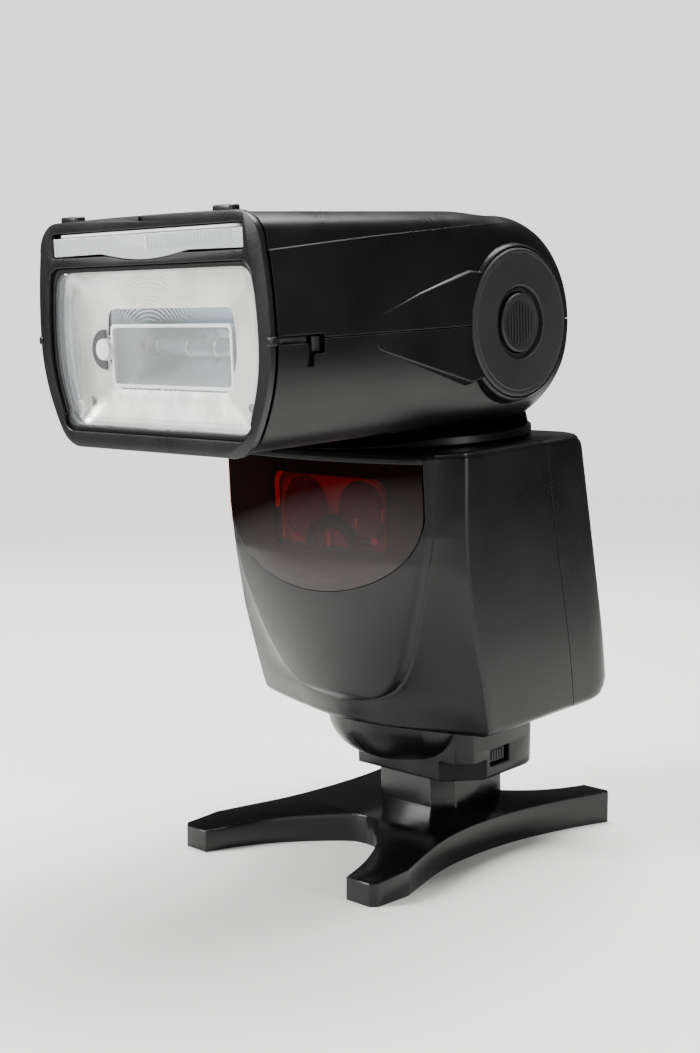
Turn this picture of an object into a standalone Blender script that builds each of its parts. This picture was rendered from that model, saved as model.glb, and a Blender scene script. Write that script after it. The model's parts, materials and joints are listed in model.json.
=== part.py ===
"""A battery speedlight flash standing on its small table stand.

The model is in metres with +Z up. The table is at z = 0 and the flash faces -Y.
Sizes are written in millimetres and become metres when a mesh is made.

Frames, each an empty:
  stand_frame   the table, under the middle of the whole object
  flash_frame   the head's tilt pivot; the flash leans forward with the stand's shoe
  panel_frame   the control panel on the sloping rear wall of the body
"""
import bpy
import bmesh
from math import asin, cos, degrees, radians, sin
from mathutils import Vector

MM = 0.001
GAP = 0.3                     # clearance between neighbouring pieces
WALL = 2.0                    # thickness of the moulded shells

# Where the flash stands
PIVOT_HEIGHT = 116.3          # tilt pivot above the table
PIVOT_FORE_AFT = 14.6         # tilt pivot behind the middle of the whole object
LEAN = 2.75                   # forward lean of the stand's shoe, in degrees

# Head
HEAD_FRONT = -70.3
RIM_BACK = -69.0
SHELL_FRONT = -68.2
HEAD_TOP = 23.3
HEAD_BOTTOM = -20.6
HEAD_HALF_WIDTH = 34.4
HEAD_TOP_HALF = 27.5
HEAD_WALL = 1.5
TOP_COVER_WALL = 1.0
BARREL_RADIUS = 22.3          # rear of the head, about the tilt pivot
CAP_RADIUS = 15.3
RELEASE_RADIUS = 6.1
RELEASE_RECESS_RADIUS = 7.3
KEYWAY = [(-67.3, 0.8), (-67.3, -0.8), (-61.0, -0.8), (-61.0, -5.0), (-59.2, -5.0),
          (-59.2, -2.8), (-56.6, -2.8), (-56.6, 0.8)]   # bayonet slot, fore-aft and height

# Flash window and the two cards above it
WINDOW_TOP = 14.2
WINDOW_BOTTOM = -17.9
WINDOW_HALF = 31.2
STRIP_BOTTOM = 16.6
STRIP_TOP = 21.0
STRIP_HALF = 28.3
CARD_HALF = 27.2
CARD_BACK = -22.5

# Neck
DRUM_RADIUS = 22.0
DRUM_HALF = 12.8
TURRET_RADIUS = 29.0
TURRET_BOTTOM = -24.8
SPIGOT_RADIUS = 19.0
SPIGOT_BOTTOM = -28.4
AXLE_RADIUS = 3.0

# Body
BODY_HALF = 35.5
BODY_TOP = -25.1              # flat landing under the turret
BODY_BOTTOM = -87.0
REAR_SLOPE = 9.1              # slope of the rear wall, in degrees
PANEL_Y = 30.7                # rear wall at the height of the panel frame
PANEL_Z = -60.0
SEAM_DEPTH = -18.4            # front and rear shells meet, measured from the rear wall

# Batteries
CELL_RADIUS = 7.2
CELL_LENGTH = 50.5
CELL_PITCH = 15.2
CELL_MIDDLE_Y = 1.9
CELL_MIDDLE_Z = -67.2
TRAY_OPEN_X = -31.0
TRAY_CLOSED_X = 25.0

# Battery door
DOOR_FRONT = -14.2
DOOR_BACK = 17.9
DOOR_TOP = -51.0
DOOR_BOTTOM = -84.8
DOOR_INNER_X = -33.3
DOOR_AXIS_X = -34.4
DOOR_AXIS_Z = -84.0

# Foot
BLOCK_BOTTOM = -101.6
BLOCK_NOSE_BOTTOM = -94.5
BLOCK_HALF = 20.6
FOOT_PLATE_TOP = -104.6
FOOT_PLATE_BOTTOM = -106.6
FOOT_HALF = 9.3
STEM_HALF = 6.2
FOOT_FRONT = 1.0
FOOT_BACK = 18.0
PIN_Y = 4.2
PIN_RADIUS = 0.9
PIN_HOLE_RADIUS = 2.2         # clear hole right through the stand below the locking pin
CONTACT_Y = 11.5
LEVER_Y = 12.0
LEVER_Z = -96.6

# Stand
STAND_FRONT = -24.2
STAND_BACK = 56.7
STAND_HALF = 29.5
STAND_TOP = [(-24.2, 4.8), (-8.0, 5.9), (10.0, 6.7), (26.0, 7.0), (56.7, 7.2)]   # fore-aft, height
SHOE_TOP = -102.2
SHOE_HALF = 11.4
BUSH_Y = 26.0
BUSH_RADIUS = 6.0


# ---------------------------------------------------------------- helpers

def clear_scene():
    for item in list(bpy.data.objects):
        bpy.data.objects.remove(item, do_unlink=True)


def make_material(name, colour, roughness, metallic=0.0, alpha=1.0):
    material = bpy.data.materials.new(name)
    material.use_nodes = True
    shader = material.node_tree.nodes["Principled BSDF"]
    shader.inputs["Base Color"].default_value = (*colour, 1.0)
    shader.inputs["Roughness"].default_value = roughness
    shader.inputs["Metallic"].default_value = metallic
    shader.inputs["Alpha"].default_value = alpha
    material.diffuse_color = (*colour, alpha)
    return material


def make_frame(name, parent=None, location=(0, 0, 0), tilt=0.0):
    """An empty at location (mm) turned by tilt degrees about its parent's X."""
    empty = bpy.data.objects.new(name, None)
    bpy.context.scene.collection.objects.link(empty)
    empty.empty_display_size = 5 * MM
    empty.parent = parent
    empty.location = Vector(location) * MM
    empty.rotation_euler = (radians(tilt), 0, 0)
    return empty


def make_object(name, shape, parent, material=None, sharp=32):
    """Turn a bmesh in millimetres into an object in metres under its frame."""
    bmesh.ops.scale(shape, vec=(MM, MM, MM), verts=shape.verts)
    bmesh.ops.recalc_face_normals(shape, faces=shape.faces)
    mesh = bpy.data.meshes.new(name)
    shape.to_mesh(mesh)
    shape.free()
    mesh.shade_smooth()
    mesh.set_sharp_from_angle(angle=radians(sharp))
    item = bpy.data.objects.new(name, mesh)
    bpy.context.scene.collection.objects.link(item)
    item.parent = parent
    if material:
        mesh.materials.append(material)
    return item


def combine(target, name, shape, operation="DIFFERENCE", guide_frame=None):
    """Cut (or join, or keep the common part) with a hidden guide solid.

    The guide sits in the target's frame unless guide_frame names another.
    """
    guide = make_object(name, shape, guide_frame or target.parent)
    guide.hide_render = True
    guide.display_type = "WIRE"
    modifier = target.modifiers.new(name, "BOOLEAN")
    modifier.operation = operation
    modifier.object = guide
    modifier.solver = "EXACT"
    return target


def box(low, high):
    shape = bmesh.new()
    size = Vector(high) - Vector(low)
    middle = (Vector(high) + Vector(low)) / 2
    bmesh.ops.create_cube(shape, size=1.0)
    bmesh.ops.scale(shape, vec=size, verts=shape.verts)
    bmesh.ops.translate(shape, vec=middle, verts=shape.verts)
    return shape


def boxes(*corner_pairs):
    """Several separate boxes in one guide solid."""
    shape = bmesh.new()
    for low, high in corner_pairs:
        append(shape, box(low, high))
    return shape


def append(shape, other):
    """Add the faces of other to shape."""
    copies = {}
    for vert in other.verts:
        copies[vert] = shape.verts.new(vert.co)
    for face in other.faces:
        shape.faces.new([copies[vert] for vert in face.verts])
    other.free()
    return shape


def loft(rings):
    """A closed solid through rings of equal length, each a list of points."""
    shape = bmesh.new()
    rows = [[shape.verts.new(point) for point in ring] for ring in rings]
    count = len(rows[0])
    for lower, upper in zip(rows, rows[1:]):
        for i in range(count):
            j = (i + 1) % count
            shape.faces.new((lower[i], lower[j], upper[j], upper[i]))
    shape.faces.new(rows[0][::-1])
    shape.faces.new(rows[-1])
    return shape


def prism(outline, axis, low, high):
    """Extrude a flat outline along X, Y or Z. The outline gives the other two."""
    def place(u, v, w):
        return {"x": (w, u, v), "y": (u, w, v), "z": (u, v, w)}[axis]
    return loft([[place(u, v, w) for u, v in outline] for w in (low, high)])


def circle(radius, sides, middle=(0.0, 0.0), start=0.0, sweep=360.0):
    """Points on an arc; a full circle leaves out the repeated last point."""
    steps = sides if sweep == 360.0 else sides - 1
    angles = [radians(start + sweep * i / steps) for i in range(sides)]
    return [(middle[0] + radius * cos(a), middle[1] + radius * sin(a)) for a in angles]


def rod(axis, middle, low, high, radius, sides=24):
    return prism(circle(radius, sides, middle), axis, low, high)


def ring_tube(axis, middle, low, high, inner, outer, sides=32):
    """A washer or tube: a rectangular profile turned about the axis."""
    shape = bmesh.new()
    corners = ((inner, low), (outer, low), (outer, high), (inner, high))
    rows = []
    for u, v in circle(1.0, sides):
        row = []
        for radius, along in corners:
            a, b = middle[0] + radius * u, middle[1] + radius * v
            place = {"x": (along, a, b), "y": (a, along, b), "z": (a, b, along)}[axis]
            row.append(shape.verts.new(place))
        rows.append(row)
    for i in range(sides):
        here, there = rows[i], rows[(i + 1) % sides]
        for k in range(4):
            m = (k + 1) % 4
            shape.faces.new((here[k], here[m], there[m], there[k]))
    return shape


def mirrored(half):
    """Close a right-hand outline, listed top to bottom, with its mirror image."""
    left = [(-u, v) for u, v in reversed(half) if u > 0.0]
    return half + left


def rounded(half_width, half_height, radius, steps=4):
    """A rectangle with rounded corners, centred on the origin."""
    points = []
    for sx, sy, start in ((1, 1, 0), (-1, 1, 90), (-1, -1, 180), (1, -1, 270)):
        middle = (sx * (half_width - radius), sy * (half_height - radius))
        points += circle(radius, steps, middle, start, 90.0)
    return points


def shifted(outline, u, v):
    return [(a + u, b + v) for a, b in outline]


# ---------------------------------------------------------------- outlines

def head_outline(inset=0.0, top_inset=None):
    """Cross-section of the head: broad sides, rounded lower corners."""
    top = HEAD_TOP - (inset if top_inset is None else top_inset)
    bottom = HEAD_BOTTOM + inset
    side = HEAD_HALF_WIDTH - inset
    return mirrored([
        (0.0, top), (HEAD_TOP_HALF - inset, top), (side - 4.1, top - 1.1), (side - 2.2, top - 3.0),
        (side - 0.6, WINDOW_TOP - inset), (side, 0.0), (side - 1.8, -10.2),
        (side - 4.8, bottom + 3.1), (side - 8.0, bottom + 0.5),
        (side - 10.5, bottom), (0.0, bottom)])


def window_outline(inset=0.0):
    """The big flash window: bowed sides, rounded corners."""
    top, bottom = WINDOW_TOP - inset, WINDOW_BOTTOM + inset
    side = WINDOW_HALF - inset
    return mirrored([
        (0.0, top), (side - 5.0, top), (side - 2.2, top - 1.6), (side - 0.6, 6.0),
        (side, -0.5), (side - 1.8, -10.4), (side - 4.2, bottom + 3.0),
        (side - 7.4, bottom), (0.0, bottom)])


def head_side_profile(inset=0.0, front=SHELL_FRONT, top_inset=None):
    """Side view of the head: flat top and bottom, round barrel behind."""
    top = HEAD_TOP - (inset if top_inset is None else top_inset)
    bottom = HEAD_BOTTOM + inset
    radius = BARREL_RADIUS - inset
    end = degrees(asin(bottom / radius))
    arc = circle(radius, 13, (0.0, 0.0), 84.0, end - 84.0)
    return [(front, top), (-4.0, top)] + arc + [(front, bottom)]


def head_solid(inset=0.0, front=SHELL_FRONT, top_inset=None):
    return prism(head_outline(inset, top_inset), "y", front, BARREL_RADIUS + 2.0)


def body_section(z, side, front, shoulder, crease, rear, inset):
    """Plan outline of the body at one height, front middle first."""
    side, front = side - inset, front + inset
    shoulder, crease, rear = shoulder + inset, crease + inset, rear - inset
    corner = 9.0 - inset
    half = [
        (0.0, front), (side * 0.35, front + (shoulder - front) * 0.2),
        (side * 0.64, front + (shoulder - front) * 0.62), (side * 0.83, shoulder),
        (side - 1.2, crease - 1.6), (side - 0.4, crease + 1.0),
        (side, (crease + rear) / 2)]
    half += [(u, v) for u, v in circle(corner, 5, (side - corner, rear - corner), 0, 78)]
    half += [(0.0, rear + 0.6)]
    outline = half + [(-u, v) for u, v in reversed(half) if u > 0.0]
    return [(u, v, z) for u, v in outline]


def body_solid(inset=0.0):
    """The body as a loft of plan sections from the bottom to the top."""
    top, bottom = BODY_TOP - inset, BODY_BOTTOM + inset
    heights = [bottom, bottom + 1.4, -82.0, -74.7, -64.0, -50.4, -36.0, -27.2, top]
    rings = []
    for z in heights:
        slope = (PANEL_Z - z) * sin(radians(REAR_SLOPE))
        rear = PANEL_Y + slope
        side = BODY_HALF - max(0.0, -64.0 - z) ** 2 * 0.002
        front = -29.6 + max(0.0, -48.0 - z) ** 2 * 0.0058
        shoulder = -25.6 + max(0.0, -40.0 - z) ** 2 * 0.0051
        crease = -19.8 + max(0.0, -52.0 - z) ** 2 * 0.0062
        if z < -81.0:
            tuck = (-81.0 - z) * 0.9
            rear -= tuck
            front += tuck * 0.35
            side -= tuck * 0.5
        if z > -28.0:
            lift = z + 28.0
            rear -= lift * 0.7
            side -= lift * 0.15
        rings.append(body_section(z, side, front, shoulder, crease, rear, inset))
    return loft(rings)


def red_window_outline(grow=0.0):
    """The red window: straight top and sides, deep arc below."""
    side, top, shoulder = 28.6 + grow, -27.7 + grow, -37.4
    drop = 17.6 + grow
    arc = [(side * cos(a), shoulder - drop * sin(a))
           for a in [radians(10 + 16 * i) for i in range(11)]]
    return [(side, top), (side, shoulder)] + arc + [(-side, shoulder), (-side, top)]


# ---------------------------------------------------------------- materials

def make_materials():
    return {
        "black": make_material("satin_black_plastic", (0.02, 0.02, 0.021), 0.42),
        "rim": make_material("rim_plastic", (0.03, 0.03, 0.03), 0.5),
        "cap": make_material("matt_grey_plastic", (0.06, 0.06, 0.062), 0.6),
        "stand": make_material("stand_plastic", (0.012, 0.012, 0.013), 0.3),
        "clear": make_material("clear_plastic", (0.9, 0.92, 0.93), 0.1, 0.0, 0.4),
        "red": make_material("red_plastic", (0.2, 0.0, 0.005), 0.08, 0.0, 0.7),
        "white": make_material("white_plastic", (0.8, 0.8, 0.78), 0.5),
        "steel": make_material("steel", (0.6, 0.6, 0.6), 0.3, 1.0),
        "mirror": make_material("bright_aluminium", (0.85, 0.85, 0.86), 0.08, 1.0),
        "brass": make_material("brass", (0.75, 0.55, 0.25), 0.3, 1.0),
        "board": make_material("circuit_board", (0.02, 0.12, 0.05), 0.5),
        "cell": make_material("cell_wrap", (0.1, 0.13, 0.2), 0.35),
        "screen": make_material("screen_glass", (0.3, 0.35, 0.3), 0.2),
        "button": make_material("button_rubber", (0.05, 0.05, 0.05), 0.7),
    }


# ---------------------------------------------------------------- head

def build_head_shells(flash, m):
    """Upper and lower halves, with cheeks that hold the neck's drum."""
    halves = (("head_upper_shell", -30.0, GAP / 2), ("head_lower_shell", -GAP / 2, 30.0))
    for name, low, high in halves:
        shell = make_object(name, head_solid(), flash, m["black"])
        combine(shell, name + "_other_half", box((-50, -90, low), (50, 50, high)))
        combine(shell, name + "_side_view", prism(head_side_profile(), "x", -40, 40), "INTERSECT")
        hollow = prism(head_outline(HEAD_WALL, TOP_COVER_WALL), "y", SHELL_FRONT - 2, -24.0)
        combine(shell, name + "_hollow", hollow)
        combine(shell, name + "_tray_room", prism(
            mirrored([(0.0, 21.8), (27.7, 21.8), (29.6, 20.1), (29.6, 14.8), (0.0, 14.8)]), "y", -26.0, -20.2))
        combine(shell, name + "_drum_room", rod("x", (0, 0), -DRUM_HALF - 0.5, DRUM_HALF + 0.5, 22.9, 40))
        combine(shell, name + "_bottom_mouth", box((-DRUM_HALF - 0.5, -9, -30), (DRUM_HALF + 0.5, 30, 0)))
        combine(shell, name + "_cheek_rooms", boxes(
            ((15.5, -21.8, -13.6), (29.0, 14.5, 13.6)), ((-29.0, -21.8, -13.6), (-15.5, 14.5, 13.6))))
        combine(shell, name + "_cheek_doors", boxes(
            ((17.0, -26.0, -10.0), (27.0, -20.0, 10.0)), ((-27.0, -26.0, -10.0), (-17.0, -20.0, 10.0))))
        combine(shell, name + "_axle_hole", rod("x", (0, 0), -17, 17, AXLE_RADIUS + GAP, 24))
        combine(shell, name + "_right_seat", rod("x", (0, 0), 32.0, 40, CAP_RADIUS + GAP, 40))
        combine(shell, name + "_left_seat", rod("x", (0, 0), -40, -32.0, CAP_RADIUS + GAP, 40))
        combine(shell, name + "_button_well", rod("x", (0, 0), 28.5, 33, RELEASE_RADIUS + 0.3, 32))
        combine(shell, name + "_keyways", append(
            prism(KEYWAY, "x", 30.0, 40.0), prism(KEYWAY, "x", -40.0, -30.0)))


def build_front(flash, m):
    """Rim, flash window and the tray of the two pull-out cards."""
    bezel = make_object("front_bezel", prism(head_outline(), "y", HEAD_FRONT, RIM_BACK), flash, m["rim"])
    collar = head_outline(HEAD_WALL + GAP, TOP_COVER_WALL + GAP)
    combine(bezel, "bezel_collar", prism(collar, "y", -69.5, -66.4), "UNION")
    combine(bezel, "bezel_window", prism(window_outline(-GAP), "y", -80, -60))
    strip = box((-STRIP_HALF - GAP, -80, STRIP_BOTTOM - GAP), (STRIP_HALF + GAP, -60, STRIP_TOP + 0.2))
    combine(bezel, "bezel_strip", strip)
    lens = make_object("fresnel_lens", prism(window_outline(), "y", -69.6, -68.1), flash, m["clear"])
    combine(lens, "lens_back", prism(window_outline(2.0), "y", -68.6, -60))
    outside = mirrored([(0.0, 21.4), (27.4, 21.4), (29.2, 19.9), (29.2, 15.2), (0.0, 15.2)])
    inside = mirrored([(0.0, 20.9), (27.1, 20.9), (28.5, 19.7), (28.5, 16.0), (0.0, 16.0)])
    tray = make_object("card_tray", prism(outside, "y", -66.0, -20.6), flash, m["black"])
    combine(tray, "tray_slot", prism(inside, "y", -70.0, -21.5))


def build_cards(flash, m):
    """The clear wide panel and the white bounce card, both pulled forward."""
    panel_axis = make_frame("wide_panel_axis", flash, (0, HEAD_FRONT, 17.4))
    panel = make_object("wide_panel", box((-CARD_HALF, 1.6, -0.6), (CARD_HALF, CARD_BACK - HEAD_FRONT, 0.6)),
                        panel_axis, m["clear"])
    combine(panel, "panel_lip", box((-STRIP_HALF, 0.1, -0.7), (STRIP_HALF, 1.7, 2.2)), "UNION")
    card_axis = make_frame("bounce_card_axis", flash, (0, HEAD_FRONT, 20.3))
    card = box((-26.6, 0.3, -0.3), (26.6, CARD_BACK - HEAD_FRONT, 0.3))
    make_object("bounce_card", card, card_axis, m["white"])


def build_zoom(flash, m):
    """The flash tube, its reflector and the carriage that zooms them."""
    reflector = make_object("reflector", prism(
        [(-64.0, 7.0), (-57.0, 6.2), (-52.0, 3.6), (-51.0, 0.0), (-51.0, -4.0), (-52.0, -7.6),
         (-57.0, -10.2), (-64.0, -11.0)], "x", -19.5, 19.5), flash, m["mirror"])
    combine(reflector, "reflector_hollow", prism(
        [(-66.0, 6.2), (-57.4, 5.4), (-53.0, 3.0), (-52.0, 0.0), (-52.0, -4.0), (-53.0, -7.0),
         (-57.4, -9.4), (-66.0, -10.2)], "x", -18.7, 18.7))
    combine(reflector, "reflector_tube_holes", rod("x", (-55.4, -2.0), -30, 30, 2.3, 20))
    make_object("xenon_tube", rod("x", (-55.4, -2.0), -22.5, 22.5, 1.8, 20), flash, m["clear"])
    make_object("tube_glass", box((-18.3, -64.6, -9.6), (18.3, -63.6, 5.6)), flash, m["clear"])
    combine(reflector, "reflector_glass_seat", box((-18.9, -66.0, -10.4), (18.9, -63.3, 6.4)))
    carriage = make_object("zoom_carriage", box((-27.0, -50.6, -15.6), (27.0, -46.0, 8.0)), flash, m["black"])
    combine(carriage, "carriage_window", box((-12.0, -52, -8.0), (12.0, -45, 4.0)))
    combine(carriage, "carriage_bores", append(append(
        rod("y", (-24.0, -12.4), -52, -45, 1.0 + GAP, 20), rod("y", (24.0, -12.4), -52, -45, 1.0 + GAP, 20)),
        rod("y", (17.5, -12.9), -52, -45, 1.25 + GAP, 20)))
    for side, name in ((-1, "left"), (1, "right")):
        guide = rod("y", (side * 24.0, -12.4), -65.8, -25.0, 1.0, 16)
        make_object("zoom_rod_" + name, guide, flash, m["steel"])
    screw_axis = make_frame("lead_screw_axis", flash, (17.5, -31.0, -12.9))
    screw = make_object("zoom_lead_screw", rod("y", (0, 0), -34.0, -1.0, 1.25, 20), screw_axis, m["brass"])
    combine(screw, "screw_collar", rod("y", (0, 0), -34.0, -33.0, 2.4, 20), "UNION")
    combine(screw, "screw_slot", box((-5, -33.4, -0.3), (5, -36, 0.3)))
    make_object("zoom_motor", rod("y", (17.5, -12.9), -31.0, -24.8, 4.4, 24), flash, m["steel"])
    make_object("trigger_board", box((-15.0, -44.0, -18.2), (12.0, -26.0, -17.0)), flash, m["board"])


def build_pivot_caps(flash, m):
    """Round caps over the tilt pivot; the release button sits in one of them."""
    cap = make_object("pivot_cap_right", rod("x", (0, 0), 32.3, HEAD_HALF_WIDTH + 0.3, CAP_RADIUS, 48),
                      flash, m["cap"])
    combine(cap, "cap_bore", rod("x", (0, 0), 30, 40, RELEASE_RADIUS + GAP, 32))
    combine(cap, "cap_recess", rod("x", (0, 0), 34.0, 40, RELEASE_RECESS_RADIUS, 32))
    plain_cap = rod("x", (0, 0), -HEAD_HALF_WIDTH - 0.3, -32.3, CAP_RADIUS, 48)
    make_object("pivot_cap_left", plain_cap, flash, m["cap"])
    make_object("release_button", rod("x", (0, 0), 30.6, HEAD_HALF_WIDTH + 0.5, RELEASE_RADIUS, 32),
                flash, m["cap"])


# ---------------------------------------------------------------- neck

def build_neck(flash, m):
    """Turret that swivels on the body and drum on which the head tilts."""
    disc = rod("z", (0, 0), TURRET_BOTTOM, -15, TURRET_RADIUS, 48)
    turret = make_object("swivel_turret", disc, flash, m["black"])
    combine(turret, "turret_side_view", prism(
        [(-35, -26), (-35, -25.2), (-14.6, -22.7), (12.5, -22.7), (16.5, -18.6), (35, -18.6), (35, -26)],
        "x", -40, 40), "INTERSECT")
    combine(turret, "turret_spigot", rod("z", (0, 0), SPIGOT_BOTTOM, -24.0, SPIGOT_RADIUS, 40), "UNION")
    combine(turret, "turret_bore", rod("z", (0, 0), -40, -10, 8.0, 32))
    barrel = rod("x", (0, 0), -DRUM_HALF, DRUM_HALF, DRUM_RADIUS, 48)
    drum = make_object("neck_drum", barrel, flash, m["black"])
    combine(drum, "drum_hollow", rod("x", (0, 0), -11.0, 11.0, 20.0, 40))
    combine(drum, "drum_cable_hole", rod("z", (0, 0), -30, 0, 7.0, 24))
    combine(drum, "drum_axle_bore", rod("x", (0, 0), -20, 20, AXLE_RADIUS + GAP, 24))
    make_object("tilt_axle", rod("x", (0, 0), -16.8, 16.8, AXLE_RADIUS, 24), flash, m["steel"])
    make_object("turret_retainer", ring_tube("z", (0, 0), -29.9, -28.7, 9.0, 23.6, 40), flash, m["steel"])
    make_object("head_cable", rod("z", (0, 0), -30.6, -6.0, 2.6, 16), flash, m["black"])


# ---------------------------------------------------------------- body

def build_body_shells(flash, panel, m):
    """Front and rear shells, meeting on a plane parallel to the rear wall."""
    beyond_seam = {
        "body_front_shell": box((-60, SEAM_DEPTH - GAP / 2, -60), (60, 80, 60)),
        "body_rear_shell": box((-60, -110, -60), (60, SEAM_DEPTH + GAP / 2, 60))}
    bracket_reach = 12.4
    for name, beyond in beyond_seam.items():
        shell = make_object(name, body_solid(), flash, m["black"])
        combine(shell, name + "_inside", body_solid(WALL))
        combine(shell, name + "_neck_hole", rod("z", (0, 0), -29, -10, SPIGOT_RADIUS + GAP, 40))
        combine(shell, name + "_foot_hole", box((-14, -12, -95), (14, 12, -84.5)))
        combine(shell, name + "_door_gap", box(
            (-45, DOOR_FRONT - GAP, -95), (-32.6, DOOR_BACK + GAP, DOOR_TOP + GAP)))
        combine(shell, name + "_beyond_seam", beyond, guide_frame=panel)
        combine(shell, name + "_bracket_room", box(
            (-45, CELL_MIDDLE_Y - bracket_reach, -95), (-31.4, CELL_MIDDLE_Y + bracket_reach, -77)))
    front = bpy.data.objects["body_front_shell"]
    combine(front, "front_window_hole", prism(red_window_outline(GAP), "y", -60, -10))
    combine(front, "sensor_hole", prism(shifted(rounded(6.3, 4.8, 2.0), -4.0, -38.0), "x", -40, -30))


def build_red_window(flash, m):
    """The dark red window follows the curve of the body's front."""
    window = make_object("red_window", prism(red_window_outline(), "y", -60, -14), flash, m["red"])
    combine(window, "window_outside", body_solid(), "INTERSECT")
    combine(window, "window_inside", body_solid(1.5))


def build_front_lamps(flash, m):
    """What shows through the red window, and the sensor on the side."""
    housing = box((-17.0, -21.0, -47.0), (17.0, -10.0, -31.0))
    reflector = make_object("assist_reflector", housing, flash, m["white"])
    combine(reflector, "assist_wells", append(
        rod("y", (-8.5, -39.0), -25, -12, 6.6, 24), rod("y", (8.5, -39.0), -25, -12, 6.6, 24)))
    make_object("assist_lamp", rod("y", (-8.5, -39.0), -22.5, -13.0, 5.6, 24), flash, m["clear"])
    make_object("assist_lens", rod("y", (8.5, -39.0), -22.5, -13.0, 5.6, 24), flash, m["clear"])
    make_object("sensor_window", prism(shifted(rounded(6.0, 4.5, 1.8), -4.0, -38.0), "x", -35.2, -33.2),
                flash, m["red"])


def tray_outline(reach, cut):
    """Square end view of the battery tray with its lower front corner cut off."""
    corners = [(reach, -reach), (reach, reach), (-reach, reach), (-reach, cut - reach), (cut - reach, -reach)]
    return shifted(corners, CELL_MIDDLE_Y, CELL_MIDDLE_Z)


def build_battery_bay(flash, m):
    """Tray, four AA cells and the spring plate at the closed end."""
    reach = CELL_PITCH / 2 + CELL_RADIUS + GAP + 0.1
    y, z = CELL_MIDDLE_Y, CELL_MIDDLE_Z
    tray = make_object("battery_tray", prism(tray_outline(reach + 1, 5.2), "x", TRAY_OPEN_X, TRAY_CLOSED_X),
                       flash, m["black"])
    combine(tray, "tray_room", prism(tray_outline(reach, 4.2), "x", TRAY_OPEN_X - 5, TRAY_CLOSED_X - 1))
    number = 1
    for step_z in (-0.5, 0.5):
        for step_y in (-0.5, 0.5):
            middle = (y + step_y * CELL_PITCH, z + step_z * CELL_PITCH)
            cell = make_object("battery_cell_" + str(number), rod(
                "x", middle, -29.0, -30.0 + CELL_LENGTH, CELL_RADIUS, 24), flash, m["cell"])
            combine(cell, "cell_nub_" + str(number), rod(
                "x", middle, -30.0 + CELL_LENGTH - 1, -29.0 + CELL_LENGTH, 2.7, 16), "UNION")
            number += 1
    plate = box((22.2, y - 12.4, z - 12.4), (23.2, y + 12.4, z + 12.4))
    make_object("battery_contacts", plate, flash, m["steel"])


def build_battery_door(flash, m):
    """The door slides down, then swings out about the pin in its bracket."""
    axis = make_frame("battery_door_axis", flash, (DOOR_AXIS_X, CELL_MIDDLE_Y, DOOR_AXIS_Z))
    y0, y1 = DOOR_FRONT - CELL_MIDDLE_Y, DOOR_BACK - CELL_MIDDLE_Y
    outer = -BODY_HALF - DOOR_AXIS_X
    door = make_object("battery_door", prism(
        [(outer, DOOR_TOP - DOOR_AXIS_Z), (DOOR_INNER_X - DOOR_AXIS_X, DOOR_TOP - DOOR_AXIS_Z),
         (DOOR_INNER_X - DOOR_AXIS_X, DOOR_BOTTOM - DOOR_AXIS_Z),
         (outer + 0.6, DOOR_BOTTOM - DOOR_AXIS_Z), (outer, DOOR_BOTTOM - DOOR_AXIS_Z + 2.0)],
        "y", y0, y1), axis, m["black"])
    combine(door, "door_pin_bore", rod("y", (0, 0), -30, 30, 0.75, 16))
    combine(door, "door_notches", boxes(
        ((-3, -9.0, -3), (3, -7.0, 1.5)), ((-3, 7.0, -3), (3, 9.0, 1.5))))
    combine(door, "door_grip", boxes(*[
        ((outer - 1, -6.0, 20.0 + 2.0 * i), (outer + 0.4, 6.0, 21.0 + 2.0 * i)) for i in range(5)]))
    bracket = make_object("door_bracket", rod("y", (0, 0), -15.2, 15.2, 0.45, 12), axis, m["steel"])
    combine(bracket, "bracket_arms", boxes(
        ((-0.6, -8.6, -0.6), (2.0, -7.4, 0.6)), ((-0.6, 7.4, -0.6), (2.0, 8.6, 0.6))), "UNION")
    combine(bracket, "bracket_plate", box((1.5, -12.0, -0.7), (2.6, 12.0, 6.0)), "UNION")


def build_electronics(flash, panel, m):
    """Capacitor, main board and display behind the control panel."""
    make_object("main_capacitor", rod("x", (4.0, -40.2), -29.0, 27.0, 9.2, 28), flash, m["cell"])
    board = make_object("main_board", box((-31.0, -9.4, -20.0), (31.0, -8.2, 27.0)), panel, m["board"])
    combine(board, "board_corner", box((-40, -12, -30), (-20, -5, -16)))
    make_object("lcd_module", box((-18.0, -6.4, 6.0), (18.0, -3.0, 25.0)), panel, m["screen"])
    pane = prism(shifted(rounded(19.4, 10.6, 2.0), 0, 15.4), "y", -1.5, -0.1)
    make_object("lcd_window", pane, panel, m["clear"])


def panel_button(panel, name, x, z, outline, depth, proud, material):
    """A push button on its own axis, standing a little proud of the panel."""
    axis = make_frame(name + "_axis", panel, (x, 0, z))
    return make_object(name, prism(outline, "y", -depth, proud), axis, material)


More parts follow.
